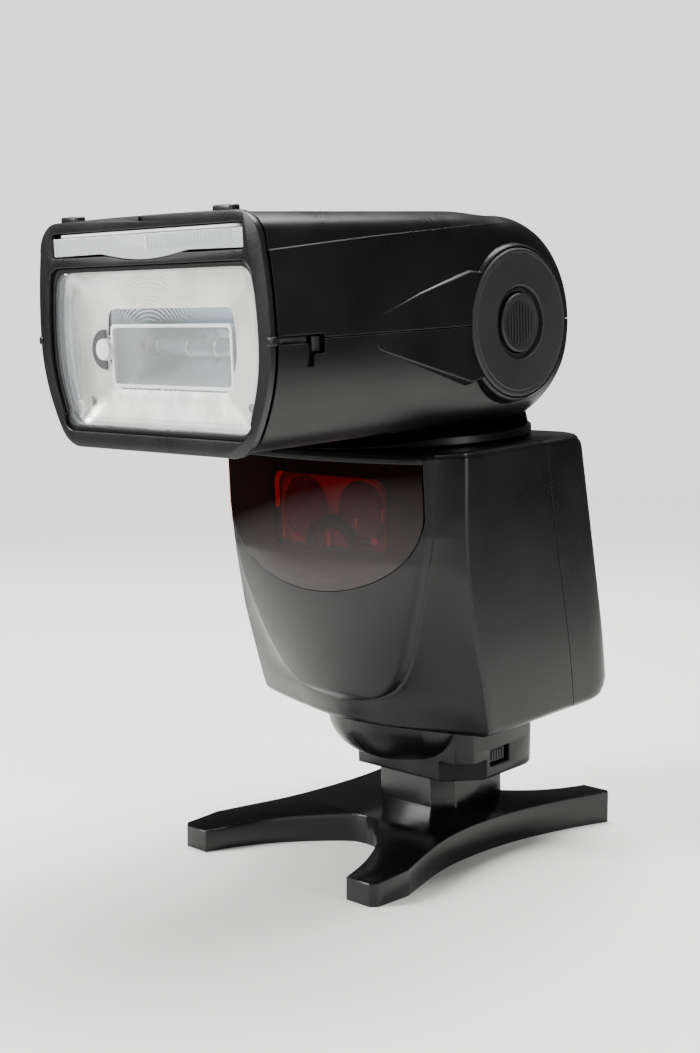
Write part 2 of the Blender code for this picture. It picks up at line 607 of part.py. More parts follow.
def build_controls(panel, m):
    """Everything the thumb reaches on the rear wall."""
    rear = bpy.data.objects["body_rear_shell"]
    oval = rounded(4.6, 2.3, 2.2)
    hole = rounded(4.6 + GAP, 2.3 + GAP, 2.2 + GAP)
    wells = []
    places = {"menu_button": (22.5, -4.0), "test_button": (4.5, -0.2), "sel_button": (22.5, -11.5),
              "zoom_button": (22.5, -19.0)}
    for name, (x, z) in places.items():
        panel_button(panel, name, x, z, oval, 3.4, 0.8, m["button"])
        wells.append(prism(shifted(hole, x, z), "y", -6, 6))
    panel_button(panel, "ready_lamp", -4.0, -0.2, circle(1.6, 16), 2.6, 0.2, m["red"])
    wells.append(rod("y", (-4.0, -0.2), -6, 6, 1.6 + GAP, 16))
    for name, x in (("mode_selector", 26.0), ("pattern_selector", -26.0)):
        slider = panel_button(panel, name, x, 15.0, rounded(2.2, 3.4, 0.8), 3.2, 1.4, m["button"])
        combine(slider, name + "_skirt", prism(rounded(3.4, 7.4, 0.8), "y", -3.9, -2.9), "UNION")
        wells.append(prism(shifted(rounded(2.6, 7.4, 0.9), x, 15.0), "y", -6, 6))
    dial_axis = make_frame("selector_dial_axis", panel, (0.0, 0, -12.5))
    knob = ring_tube("y", (0, 0), -1.4, 1.8, 4.5, 8.6, 36)
    dial = make_object("selector_dial", knob, dial_axis, m["button"])
    combine(dial, "dial_hub", ring_tube("y", (0, 0), -7.4, -0.6, 4.5, 5.6, 28), "UNION")
    make_object("ok_button", rod("y", (0, 0), -5.0, 1.5, 4.1, 28), dial_axis, m["button"])
    wells.append(rod("y", (0.0, -12.5), -6, 6, 8.9, 36))
    power_axis = make_frame("power_switch_axis", panel, (-20.5, 0, -12.5))
    power = make_object("power_switch", rod("y", (0, 0), -5.0, 1.0, 5.2, 28), power_axis, m["button"])
    combine(power, "power_lever", box((-1.5, 0.55, -1.0), (1.5, 2.4, 6.6)), "UNION")
    wells.append(rod("y", (-20.5, -12.5), -6, 6, 5.5, 28))
    wells.append(prism(shifted(rounded(19.7, 10.9, 2.2), 0, 15.4), "y", -6, 6))
    holes = wells[0]
    for well in wells[1:]:
        append(holes, well)
    combine(rear, "panel_holes", holes, guide_frame=panel)


# ---------------------------------------------------------------- foot

def foot_block_outline(grow=0.0):
    """Plan of the foot block: pointed, rounded nose and a square back."""
    half = [(0.0, -19.0 - grow), (7.5, -17.4 - grow), (12.6 + grow, -13.6), (14.8 + grow, -11.6),
            (17.4 + grow, -4.8), (BLOCK_HALF + grow, -2.0), (BLOCK_HALF + grow, 18.4),
            (18.2, 20.4 + grow), (0.0, 20.6 + grow)]
    return half + [(-u, v) for u, v in reversed(half) if u > 0.0]


def build_foot(flash, m):
    """Foot block, metal hot-shoe foot, locking pin and its lever."""
    rings = []
    for z, grow in ((-87.3, 0.0), (-94.0, -0.2), (-100.6, -0.4), (BLOCK_BOTTOM, -1.2)):
        rings.append([(u, v, z) for u, v in foot_block_outline(grow)])
    block = make_object("foot_block", loft(rings), flash, m["black"])
    combine(block, "block_nose_relief", prism(
        [(-30.0, -93.0), (-13.5, -93.4), (-10.5, BLOCK_NOSE_BOTTOM), (-2.7, BLOCK_NOSE_BOTTOM),
         (-2.7, -110.0), (-30.0, -110.0)], "x", -40, 40))
    combine(block, "block_stem", box((-11.0, -9.0, -88.0), (11.0, 9.0, -84.8)), "UNION")
    combine(block, "block_lever_room", box((-13.0, LEVER_Y - 5.4, -98.6), (13.0, 30.0, -94.6)))
    combine(block, "block_side_window", box((18.6, 4.0, -98.6), (30.0, 10.8, -94.8)))
    combine(block, "block_pin_bore", rod("z", (0, PIN_Y), -110, -94.0, PIN_RADIUS + GAP, 20))
    foot = make_object("mounting_foot", box(
        (-FOOT_HALF, FOOT_FRONT, FOOT_PLATE_BOTTOM), (FOOT_HALF, FOOT_BACK, FOOT_PLATE_TOP)), flash, m["steel"])
    combine(foot, "foot_stem", box((-STEM_HALF, FOOT_FRONT, FOOT_PLATE_TOP - 1),
                                   (STEM_HALF, FOOT_BACK, BLOCK_BOTTOM - GAP)), "UNION")
    combine(foot, "foot_pin_hole", rod("z", (0, PIN_Y), -110, -90, PIN_RADIUS + GAP, 20))
    combine(foot, "foot_contact_well", rod("z", (0, CONTACT_Y), -110, -105.2, 2.6, 24))
    make_object("centre_contact", rod("z", (0, CONTACT_Y), -106.8, -105.5, 1.6, 20), flash, m["brass"])
    pin_axis = make_frame("locking_pin_axis", flash, (0, PIN_Y, 0))
    make_object("locking_pin", rod("z", (0, 0), -106.4, -96.4, PIN_RADIUS, 16), pin_axis, m["steel"])
    lever_axis = make_frame("lock_lever_axis", flash, (0, LEVER_Y, LEVER_Z))
    lever = make_object("lock_lever", rod("z", (0, 0), -1.6, 1.6, 4.6, 28), lever_axis, m["button"])
    combine(lever, "lever_arm", box((-3.2, 0.0, -1.4), (3.2, 12.0, 1.4)), "UNION")


# ---------------------------------------------------------------- stand

def stand_outline():
    """Right half of the X plan: front notch, leg, waist, leg, rear notch."""
    front_notch = [(0.0, 4.6), (3.5, 3.9), (6.8, 1.2), (10.2, -2.4), (13.8, -6.8), (17.0, -11.8), (19.6, -17.2)]
    front_tip = [(21.6, STAND_FRONT), (STAND_HALF - 1.2, STAND_FRONT), (STAND_HALF, STAND_FRONT + 1.2)]
    waist = [(STAND_HALF, -14.0), (27.4, -8.0), (25.1, -1.1), (23.4, 6.0), (22.6, 13.0), (22.4, 20.0),
             (22.7, 27.0), (23.6, 34.0), (25.0, 41.0), (26.9, 48.0), (29.0, 54.5)]
    rear_tip = [(STAND_HALF, STAND_BACK - 1.2), (STAND_HALF - 1.2, STAND_BACK), (21.4, STAND_BACK)]
    rear_notch = [(19.4, 51.0), (16.8, 46.6), (13.6, 43.0), (10.0, 40.0), (6.8, 38.0), (3.4, 36.9), (0.0, 36.6)]
    return mirrored(front_notch + front_tip + waist + rear_tip + rear_notch)


def build_stand(stand, flash, m):
    """X-shaped base with an accessory shoe above and a tripod bush below."""
    base = make_object("stand_base", prism(stand_outline(), "z", 0.0, 12.0), stand, m["stand"])
    side_view = [(STAND_FRONT - 5, -5.0), (STAND_BACK + 5, -5.0), (STAND_BACK + 5, STAND_TOP[-1][1])]
    side_view += STAND_TOP[::-1] + [(STAND_FRONT - 5, STAND_TOP[0][1])]
    combine(base, "stand_side_view", prism(side_view, "x", -40, 40), "INTERSECT")
    shoe_front, shoe_back = FOOT_FRONT - 1.6, FOOT_BACK + 0.2
    shoe = [(9.8, shoe_front), (SHOE_HALF, shoe_front + 3.0), (SHOE_HALF, shoe_back),
            (-SHOE_HALF, shoe_back), (-SHOE_HALF, shoe_front + 3.0), (-9.8, shoe_front)]
    combine(base, "stand_shoe", prism(shoe, "z", -110.5, SHOE_TOP), "UNION", flash)
    foot, stem = FOOT_HALF + GAP, STEM_HALF + GAP
    low, lip = FOOT_PLATE_BOTTOM - GAP, FOOT_PLATE_TOP + GAP
    slot = prism([(-foot, low), (foot, low), (foot, lip), (stem, lip), (stem, -100.0),
                  (-stem, -100.0), (-stem, lip), (-foot, lip)], "y", FOOT_FRONT - GAP, 40)
    combine(base, "stand_slot", slot, guide_frame=flash)
    combine(base, "stand_pin_hole", rod("z", (0, PIN_Y), -125, -100, PIN_HOLE_RADIUS, 20), guide_frame=flash)
    combine(base, "stand_bush_well", rod("z", (0, BUSH_Y), -5, 5.6, BUSH_RADIUS + GAP, 32))
    make_object("tripod_bush", ring_tube("z", (0, BUSH_Y), 0.4, 5.3, 2.9, BUSH_RADIUS, 32), stand, m["brass"])


# ---------------------------------------------------------------- assembly

def main():
    clear_scene()
    m = make_materials()
    stand = make_frame("stand_frame")
    flash = make_frame("flash_frame", None, (0, PIVOT_FORE_AFT, PIVOT_HEIGHT), LEAN)
    panel = make_frame("panel_frame", flash, (0, PANEL_Y, PANEL_Z), REAR_SLOPE)
    build_head_shells(flash, m)
    build_front(flash, m)
    build_cards(flash, m)
    build_zoom(flash, m)
    build_pivot_caps(flash, m)
    build_neck(flash, m)
    build_body_shells(flash, panel, m)
    build_red_window(flash, m)
    build_front_lamps(flash, m)
    build_battery_bay(flash, m)
    build_battery_door(flash, m)
    build_electronics(flash, panel, m)
    build_controls(panel, m)
    build_foot(flash, m)
    build_stand(stand, flash, m)
    bpy.context.view_layer.update()


main()
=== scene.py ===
"""Looks of a battery speedlight flash on its table stand.

Shapes are worked out in millimetres in two frames taken from the part's own joints:
  FLASH   origin on the head's tilt pivot, -Y out of the flash window, +Z up the flash
  PANEL   origin on the rear wall below the display, +Y out of the wall
A look is a material paired with a finish slot name, and is named by its key in LOOKS.
"""
import bpy
import bmesh
import json
import numpy as np
from math import atan2, cos, degrees, pi, radians, sin, sqrt
from mathutils import Matrix, Vector


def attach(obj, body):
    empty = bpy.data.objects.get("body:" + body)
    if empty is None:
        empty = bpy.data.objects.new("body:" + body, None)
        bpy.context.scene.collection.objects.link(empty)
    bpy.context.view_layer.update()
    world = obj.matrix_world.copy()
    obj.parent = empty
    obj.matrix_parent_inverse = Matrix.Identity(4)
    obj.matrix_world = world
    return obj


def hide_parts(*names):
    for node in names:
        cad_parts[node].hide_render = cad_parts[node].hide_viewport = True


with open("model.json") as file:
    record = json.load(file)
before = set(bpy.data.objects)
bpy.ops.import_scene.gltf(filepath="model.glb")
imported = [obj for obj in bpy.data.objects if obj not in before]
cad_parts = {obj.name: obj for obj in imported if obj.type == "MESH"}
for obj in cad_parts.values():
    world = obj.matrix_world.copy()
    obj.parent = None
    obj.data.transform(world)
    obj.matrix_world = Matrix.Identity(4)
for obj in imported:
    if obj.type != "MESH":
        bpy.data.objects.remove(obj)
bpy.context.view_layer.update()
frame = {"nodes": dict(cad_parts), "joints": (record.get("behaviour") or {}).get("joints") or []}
MM = 0.001
JOINTS = {joint["name"]: joint for joint in frame["joints"]}
X_AXIS = Vector((1.0, 0.0, 0.0))
SIDES = ((-1, "left"), (1, "right"))


def frame_matrix(origin, side, out, up):
    """Metres per millimetre matrix with the given axes."""
    columns = Matrix((side, out, up)).transposed()
    return Matrix.Translation(Vector(origin)) @ columns.to_4x4() @ Matrix.Scale(MM, 4)


UP = Vector(JOINTS["head_swivel"]["axis"])
FLASH = frame_matrix(JOINTS["head_tilt"]["pos_m"], X_AXIS, UP.cross(X_AXIS), UP)
OUT = Vector(JOINTS["dial_turn"]["axis"])
PANEL_UP = X_AXIS.cross(OUT)
DIAL_DROP = 12.5              # the dial's axis is this far below the panel frame's origin
PANEL = frame_matrix(Vector(JOINTS["dial_turn"]["pos_m"]) + PANEL_UP * DIAL_DROP * MM,
                     X_AXIS, OUT, PANEL_UP)
WORLD = Matrix.Scale(MM, 4)

# Head, millimetres in FLASH
RING_FRONT = -70.3
SHELL_FRONT = -68.2
SIDE = 34.4
TOP = 23.3
BOTTOM = -20.6
BARREL = 22.3
CAP_RADIUS = 15.3
DRUM_HALF = 12.8
DRUM_RADIUS = 22.0
LENS_TOP = 14.2
LENS_BOTTOM = -17.9
LENS_HALF = 31.2
LENS_MIDDLE = -2.0
TUBE_PLACE = (-55.4, LENS_MIDDLE)
PANE_HALF = (17.6, 5.6)
PANE_DROP = 3.3               # the light pane's middle is this far below the tilt pivot
THROUGH_RING = ("y", -80.0, -60.0)

# Body
BODY_TOP = -25.1
BODY_BOTTOM = -86.4
SHIELD_FOOT = -80.3
REAR_SLOPE = 9.1
REAR_BOW = 0.2
SEAM = -18.4
SKIN = 1.5
BODY_MIDDLE = np.array([0.0, 3.0])
SHIELD_RISE = 1.5
SKIRT = [(0.96, -85.7), (0.985, -85.1), (0.997, -84.6)]    # share of the full outline, height
HINGE_PLACE = (-34.4, -84.0)
ASSIST_HEIGHT = -39.0
ASSIST_SPREAD = 8.5           # the two bowls stand this far from the middle
SENSOR_PLACE = (-4.0, -38.0)
THROUGH_SHIELD = ("y", -60.0, -12.0)

# Rear wall, millimetres in PANEL
BUTTONS = {"menu_button": (22.5, -4.0), "test_button": (4.5, -0.2),
           "sel_button": (22.5, -11.5), "zoom_button": (22.5, -19.0)}
SLIDERS = {"pattern_selector": (-26.0, 15.0), "mode_selector": (26.0, 15.0)}
LAMP = (-4.0, -0.2)
DIAL = (0.0, -DIAL_DROP)
POWER = (-20.5, -12.5)
DISPLAY = (0.0, 15.4)
THROUGH_REAR = ("y", -6.0, 6.0)
DIGITS = {"2": "abged", "8": "abcdefg", "3": "abgcd", "5": "afgcd"}

# Stand, WORLD; foot and shoe, FLASH
STAND_FRONT_NOTCH = [(0.0, 4.6), (3.5, 3.9), (6.8, 1.2), (10.2, -2.4), (13.8, -6.8), (17.0, -11.8),
                     (19.6, -17.2), (21.2, -22.0)]
STAND_WAIST = [(29.5, -14.0), (27.4, -8.0), (25.1, -1.1), (23.4, 6.0), (22.6, 13.0), (22.4, 20.0),
               (22.7, 27.0), (23.6, 34.0), (25.0, 41.0), (26.9, 48.0), (29.0, 54.5)]
STAND_REAR_NOTCH = [(21.0, 54.6), (19.4, 51.0), (16.8, 46.6), (13.6, 43.0), (10.0, 40.0), (6.8, 38.0),
                    (3.4, 36.9), (0.0, 36.6)]
STAND_TOP = [(-24.2, 4.8), (-8.0, 5.9), (10.0, 6.7), (26.0, 7.0), (56.7, 7.2)]
SHOE_TOP = -102.2
SLOT_LOW = -106.9
SLOT_HIGH = -104.3
BUSH_PLACE = (0.0, 26.0)
PIN_PLACE = (0.0, 4.2)
CONTACT_PLACE = (0.0, 11.5)
BLOCK_BOTTOM = -101.6
FOOT_TOP = -85.6

# Studio
BACKDROP = (0.86, 0.855, 0.84, 1.0)
BACKDROP_STRENGTH = 2.0
ROOM_STRENGTH = 0.07


# ------------------------------------------------------------------ outlines

def smoothstep(low, high, value):
    t = min(1.0, max(0.0, (value - low) / (high - low)))
    return t * t * (3.0 - 2.0 * t)


def mix(a, b, t):
    return a + (b - a) * t


def circle(radius, sides, middle=(0.0, 0.0), start=0.0, sweep=360.0):
    steps = sides if sweep == 360.0 else sides - 1
    angles = [radians(start + sweep * i / steps) for i in range(sides)]
    return [(middle[0] + radius * cos(a), middle[1] + radius * sin(a)) for a in angles]


def rounded(half_width, half_height, radius, steps=8, middle=(0.0, 0.0)):
    points = []
    for sx, sy, start in ((1, 1, 0), (-1, 1, 90), (-1, -1, 180), (1, -1, 270)):
        corner = (middle[0] + sx * (half_width - radius), middle[1] + sy * (half_height - radius))
        points += circle(radius, steps, corner, start, 90.0)
    return points


def mirrored(half):
    return half + [(-u, v) for u, v in reversed(half) if u > 1e-6]


def spread(points, count):
    """Evenly spaced points along an open polyline."""
    points = np.array(points, float)
    lengths = np.concatenate(([0.0], np.cumsum(np.linalg.norm(np.diff(points, axis=0), axis=1))))
    wanted = np.linspace(0.0, lengths[-1], count)
    return np.stack([np.interp(wanted, lengths, points[:, k]) for k in range(points.shape[1])], 1)


def curve_through(points, steps=6):
    """Smooth open line through the points (Catmull-Rom)."""
    points = np.array(points, float)
    padded = np.vstack((2 * points[0] - points[1], points, 2 * points[-1] - points[-2]))
    line = []
    for a, b, c, d in zip(padded, padded[1:], padded[2:], padded[3:]):
        for t in np.arange(steps) / steps:
            line.append(0.5 * (2 * b + (c - a) * t + (2 * a - 5 * b + 4 * c - d) * t * t
                               + (3 * b - a - 3 * c + d) * t ** 3))
    return [tuple(point) for point in line] + [tuple(points[-1])]


# ------------------------------------------------------------------ meshes

def place(axis, u, v, w):
    return {"x": (w, u, v), "y": (u, w, v), "z": (u, v, w)}[axis]


def solid_mesh(points, faces):
    """Mesh with its normals pointing away from its middle."""
    mesh = bpy.data.meshes.new("shape")
    mesh.from_pydata([tuple(p) for p in points], [], faces)
    shape = bmesh.new()
    shape.from_mesh(mesh)
    bmesh.ops.remove_doubles(shape, verts=shape.verts, dist=1e-5)
    bmesh.ops.recalc_face_normals(shape, faces=shape.faces)
    middle = sum((v.co for v in shape.verts), Vector()) / len(shape.verts)
    facing = sum((f.calc_center_median() - middle).dot(f.normal) * f.calc_area() for f in shape.faces)
    if facing < 0.0:
        bmesh.ops.reverse_faces(shape, faces=shape.faces)
    shape.to_mesh(mesh)
    shape.free()
    return mesh


def grid_mesh(rows, wrap=False, caps=False):
    """Quads through rows of points; wrap joins each row's ends, caps close the stack."""
    count = len(rows[0])
    points = [p for row in rows for p in row]
    faces = []
    for r in range(len(rows) - 1):
        for c in range(count if wrap else count - 1):
            d = (c + 1) % count
            faces.append((r * count + c, r * count + d, (r + 1) * count + d, (r + 1) * count + c))
    if caps:
        faces.append(tuple(range(count))[::-1])
        faces.append(tuple((len(rows) - 1) * count + c for c in range(count)))
    return solid_mesh(points, faces)


def prism_mesh(outline, axis, low, high):
    rows = [[place(axis, u, v, w) for u, v in outline] for w in (low, high)]
    return grid_mesh(rows, wrap=True, caps=True)


def box_mesh(low, high):
    outline = [(low[0], low[1]), (high[0], low[1]), (high[0], high[1]), (low[0], high[1])]
    return prism_mesh(outline, "z", low[2], high[2])


def lathe_mesh(profile, axis, middle=(0.0, 0.0), sides=96, knurls=None):
    """Turn a (radius, along) profile about an axis through middle.

    A profile that stays off the axis is closed into a ring.
    knurls is (count, depth, least radius): grooves across the rim beyond that radius.
    """
    rows = []
    for radius, along in profile:
        row = circle(max(radius, 1e-4), sides, middle)
        if knurls and radius >= knurls[2]:
            count, depth = knurls[:2]
            cuts = [radius - depth * (0.5 + 0.5 * cos(count * 2 * pi * i / sides)) for i in range(sides)]
            row = [(mix(middle[0], u, r / radius), mix(middle[1], v, r / radius))
                   for (u, v), r in zip(row, cuts)]
        rows.append([place(axis, u, v, along) for u, v in row])
    closed = profile[0][0] > 1e-3 and profile[-1][0] > 1e-3
    if closed:
        rows.append(rows[0])
    return grid_mesh(rows, wrap=True, caps=not closed)


def domed_mesh(outline, axis, low, high, edge=0.5, crown=0.15):
    """Solid with a softly rounded outer face; edge and crown in millimetres."""
    points = np.array(outline)
    middle = (points.max(axis=0) + points.min(axis=0)) / 2
    reach = (points.max(axis=0) - points.min(axis=0)).min() / 2
    rows = []
    for inset, drop in ((0.0, high - low), (0.0, edge), (0.3 * edge, 0.3 * edge), (edge, 0.0)):
        rows.append((1.0 - inset / reach, high - drop))
    for share, rise in ((0.6, 0.6), (0.3, 0.9), (0.02, 1.0)):
        rows.append((share * rows[3][0], high + crown * rise))
    loops = [[place(axis, *(middle + (point - middle) * share), w) for point in points] for share,
             w in rows]
    return grid_mesh(loops, wrap=True, caps=True)


def joined(meshes):
    """Several meshes as one."""
    shape = bmesh.new()
    for mesh in meshes:
        shape.from_mesh(mesh)
    whole = bpy.data.meshes.new("shape")
    shape.to_mesh(whole)
    shape.free()
    return whole


def flipped(mesh):
    """Mirror a mesh over to the left-hand side."""
    mesh.transform(Matrix.Diagonal((-1.0, 1.0, 1.0, 1.0)))
    mesh.flip_normals()
    return mesh


# ------------------------------------------------------------------ pieces

def smooth(piece, angle=30):
    piece.data.shade_smooth()
    piece.data.set_sharp_from_angle(angle=radians(angle))


def make_piece(name, mesh, body, look, node=None, matrix=FLASH, sharp=30):
    """Visible piece on a body; node is the CAD solid that it stands for."""
    mesh.transform(matrix)
    mesh.name = name
    piece = bpy.data.objects.new(name, mesh)
    bpy.context.scene.collection.objects.link(piece)
    smooth(piece, sharp)
    mesh.materials.append(LOOKS[look][1])
    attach(piece, body)
    if node:
        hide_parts(node)
    return piece


def apply_modifier(piece, kind, **settings):
    """Change the piece's mesh by one modifier."""
    modifier = piece.modifiers.new(kind.lower(), kind)
    for key, value in settings.items():
        setattr(modifier, key, value)
    bpy.context.view_layer.update()
    graph = bpy.context.evaluated_depsgraph_get()
    mesh = bpy.data.meshes.new_from_object(piece.evaluated_get(graph), depsgraph=graph)
    piece.modifiers.clear()
    piece.data = mesh


def combine(piece, mesh, matrix=FLASH, operation="DIFFERENCE"):
    """Boolean with a throw-away tool mesh."""
    mesh.transform(matrix)
    tool = bpy.data.objects.new("tool", mesh)
    bpy.context.scene.collection.objects.link(tool)
    apply_modifier(piece, "BOOLEAN", operation=operation, object=tool, solver="EXACT")
    bpy.data.objects.remove(tool)


def cut(piece, outline, axis, low, high, matrix=FLASH):
    """Cut a prism out of the piece."""
    combine(piece, prism_mesh(outline, axis, low, high), matrix)


def round_edges(piece, width, segments=3, angle=40):
    """Bevel edges sharper than the angle; width in millimetres."""
    apply_modifier(piece, "BEVEL", width=width * MM, segments=segments, limit_method="ANGLE",
                   angle_limit=radians(angle), use_clamp_overlap=True, miter_outer="MITER_ARC")
    smooth(piece, 32)


def thicken(piece, thickness):
    """Give an open skin a thickness on its inner side, in millimetres."""
    apply_modifier(piece, "SOLIDIFY", thickness=thickness * MM, offset=-1.0, use_even_offset=True)


# ------------------------------------------------------------------ looks

def rgba(colour, share=1.0, extra=0.0):
    return (*(c * share + extra for c in colour), 1.0)


class Nodes:
    """Short names for building one material's node tree."""

    def __init__(self, name):
        self.material = bpy.data.materials.new(name)
        self.material.use_nodes = True
        self.tree = self.material.node_tree
        self.shader = self.tree.nodes["Principled BSDF"]
        self.place = self.add("TexCoord").outputs["Object"]

    def add(self, kind, inputs=None, **settings):
        node = self.tree.nodes.new("ShaderNode" + kind)
        for key, value in settings.items():
            setattr(node, key, value)
        self.feed(node, inputs or {})
        return node

    def feed(self, node, inputs):
        """Set a node's inputs, or link them where the value is another node's output."""
        for key, value in inputs.items():
            if isinstance(value, bpy.types.NodeSocket):
                self.tree.links.new(value, node.inputs[key])
            else:
                node.inputs[key].default_value = value

    def finish(self, shader):
        self.feed(self.tree.nodes["Material Output"], {"Surface": shader})

    def noise(self, scale, detail=2.0, roughness=0.5):
        inputs = {"Vector": self.place, "Scale": scale, "Detail": detail, "Roughness": roughness}
        return self.add("TexNoise", inputs).outputs["Fac"]

    def remap(self, source, low, high, out_low, out_high):
        inputs = {"Value": source, "From Min": low, "From Max": high, "To Min": out_low, "To Max": out_high}
        return self.add("MapRange", inputs).outputs["Result"]

    def math(self, operation, a, b=0.0):
        return self.add("Math", {0: a, 1: b}, operation=operation).outputs["Value"]

    def vector(self, operation, a, b=(0.0, 0.0, 0.0)):
        return self.add("VectorMath", {0: a, 1: b}, operation=operation).outputs

    def mix_colour(self, factor, a, b, blend="MIX"):
        inputs = {"Factor": factor, "A": a, "B": b}
        return self.add("Mix", inputs, data_type="RGBA", blend_type=blend).outputs["Result"]

    def soft_normal(self, radius):
        return self.add("Bevel", {"Radius": radius * MM}, samples=4).outputs["Normal"]

    def bump(self, height, distance, strength=1.0, edge=0.0):
        """Bump on top of softened edges (edge is the softening radius in mm)."""
        node = self.add("Bump", {"Height": height, "Distance": distance * MM, "Strength": strength})
        if edge:
            self.feed(node, {"Normal": self.soft_normal(edge)})
        self.feed(self.shader, {"Normal": node.outputs["Normal"]})
        return node.outputs["Normal"]

    def edge_mask(self, radius):
        """1 on convex or concave edges, 0 on flat places."""
        plain = self.add("NewGeometry").outputs["Normal"]
        dot = self.vector("DOT_PRODUCT", self.soft_normal(radius), plain)
        return self.remap(dot["Value"], 1.0, 0.86, 0.0, 1.0)


def moulded(name, colour, roughness, grain, grain_scale, edge, coat=0.0, wear_and_highlight=0.35, gloss=0.4):
    """Moulded plastic: fine spark-eroded grain, uneven sheen, edges lightened in colour as wear and a
    painted highlight.
    """
    n = Nodes(name)
    fine = n.noise(grain_scale, 2.0, 0.6)
    broad = n.noise(55.0, 3.0, 0.55)
    dust = n.noise(5200.0, 1.0, 0.4)
    light = np.minimum(rgba(colour, 1.3, 0.0008), 1.0)
    tone = n.mix_colour(n.remap(broad, 0.35, 0.7, 0.0, 0.5), rgba(colour), light)
    # Lighter colour on convex and concave edges: partly wear, partly a painted edge highlight.
    edge_wear_and_highlight = n.math("MULTIPLY", n.edge_mask(0.45), wear_and_highlight)
    wear_and_highlight_colour = n.mix_colour(edge_wear_and_highlight, rgba((0, 0, 0)), rgba(colour, 1.5, 0.006))
    sheen = n.math("ADD", n.remap(broad, 0.3, 0.7, roughness - 0.05, roughness + 0.05),
                   n.remap(fine, 0.3, 0.7, -0.03, 0.03))
    specks = n.math("MULTIPLY", n.remap(dust, 0.72, 0.78, 0.0, 1.0), 0.15)
    n.feed(n.shader, {"Base Color": n.mix_colour(1.0, tone, wear_and_highlight_colour, "ADD"),
                      "Roughness": n.math("ADD", sheen, specks), "Specular IOR Level": gloss,
                      "Coat Weight": coat, "Coat Roughness": 0.18})
    n.bump(fine, grain, 1.0, edge)
    return n.material


def metal(name, colour, roughness, stretch=(1.0, 1.0, 30.0), depth=0.004):
    """Drawn or turned metal with fine lines along one direction."""
    n = Nodes(name)
    along = n.add("Mapping", {"Vector": n.place, "Scale": stretch}).outputs["Vector"]
    lines = n.add("TexNoise", {"Vector": along, "Scale": 900.0}).outputs["Fac"]
    n.feed(n.shader, {"Base Color": n.mix_colour(n.noise(70.0), rgba(colour), rgba(colour, 0.8)),
                      "Metallic": 1.0,
                      "Roughness": n.remap(lines, 0.3, 0.7, roughness - 0.06, roughness + 0.08)})
    n.bump(lines, depth, 1.0, 0.15)
    return n.material


def see_through(name, tint, amount, roughness, haze):
    """Clear moulded plastic: a glossy face over a tinted, mostly open sheet."""
    n = Nodes(name)
    n.feed(n.shader, {"Base Color": rgba(haze), "Roughness": roughness, "IOR": 1.49})
    clear = n.add("BsdfTransparent", {"Color": rgba(tint)})
    n.blend = n.add("MixShader", {"Fac": amount, 1: n.shader.outputs["BSDF"], 2: clear.outputs["BSDF"]})
    n.gloss = n.add("BsdfGlossy", {"Roughness": roughness})
    n.fresnel = n.add("Fresnel", {"IOR": 1.49})
    outside = n.math("SUBTRACT", 1.0, n.add("NewGeometry").outputs["Backfacing"])
    shine = n.math("MULTIPLY", n.fresnel.outputs["Fac"], outside)
    top = n.add("MixShader", {"Fac": shine, 1: n.blend.outputs["Shader"], 2: n.gloss.outputs["BSDF"]})
    n.finish(top.outputs["Shader"])
    return n


def clear_pane(name, tint, amount, roughness, haze, ripple_scale, calm, rippled):
    """Clear sheet whose gloss varies between the calm and the rippled roughness."""
    n = see_through(name, tint, amount, roughness, haze)
    n.feed(n.gloss, {"Roughness": n.remap(n.noise(ripple_scale), 0.3, 0.7, calm, rippled)})
    return n


def clear_plastic():
    """Window steps and ribs: clear with fine scuffs."""
    n = see_through("clear_plastic", (0.95, 0.96, 0.97), 0.86, 0.04, (0.8, 0.82, 0.84))
    n.feed(n.gloss, {"Roughness": n.remap(n.noise(420.0, 3.0), 0.4, 0.8, 0.02, 0.12)})
    return n.material


def flash_window():
    """Clear sheet with fine rings; they grow faint far from the middle and across the light pane."""
    n = see_through("fresnel_window", (0.97, 0.98, 0.99), 0.86, 0.05, (0.8, 0.82, 0.84))
    centre = FLASH @ Vector((0.0, RING_FRONT, LENS_MIDDLE))
    offset = n.vector("SUBTRACT", n.place, centre)["Vector"]
    flat = n.vector("MULTIPLY", offset, (1.0, 0.0, 1.0))["Vector"]
    radius = n.vector("LENGTH", flat)["Value"]
    ring_pitch = 0.8 * MM
    ridge = n.math("FRACT", n.math("MULTIPLY", radius, 1.0 / ring_pitch))
    normal = n.bump(ridge, 0.16)
    n.feed(n.gloss, {"Normal": normal})
    n.feed(n.fresnel, {"Normal": normal})
    height = n.math("ABSOLUTE", n.add("SeparateXYZ", {"Vector": flat}).outputs["Z"])
    off_pane = n.remap(height, 0.0055, 0.0075, 0.1, 1.0)
    near = n.math("MULTIPLY", off_pane, n.remap(radius, 0.006, 0.021, 1.0, 0.0))
    frost = n.math("MULTIPLY", near, n.remap(ridge, 0.4, 0.6, 0.0, 0.4))
    n.feed(n.blend, {"Fac": n.math("SUBTRACT", 0.93, frost)})
    return n.material


def ribbed_panel():
    """Pull-out wide panel: frosted below, clear above, with fine upright ribs."""
    n = see_through("ribbed_clear_panel", (0.95, 0.96, 0.97), 0.7, 0.05, (0.8, 0.82, 0.84))
    split = n.add("SeparateXYZ", {"Vector": n.place}).outputs
    rib_pitch = 0.55 * MM
    wave = n.math("SINE", n.math("MULTIPLY", split["X"], 2 * pi / rib_pitch))
    n.feed(n.gloss, {"Normal": n.bump(wave, 0.06, 0.8)})
    change = FLASH.translation.z + 18.1 * MM
    n.feed(n.blend, {"Fac": n.remap(split["Z"], change - 0.3 * MM, change + 0.3 * MM, 0.45, 0.975)})
    return n.material


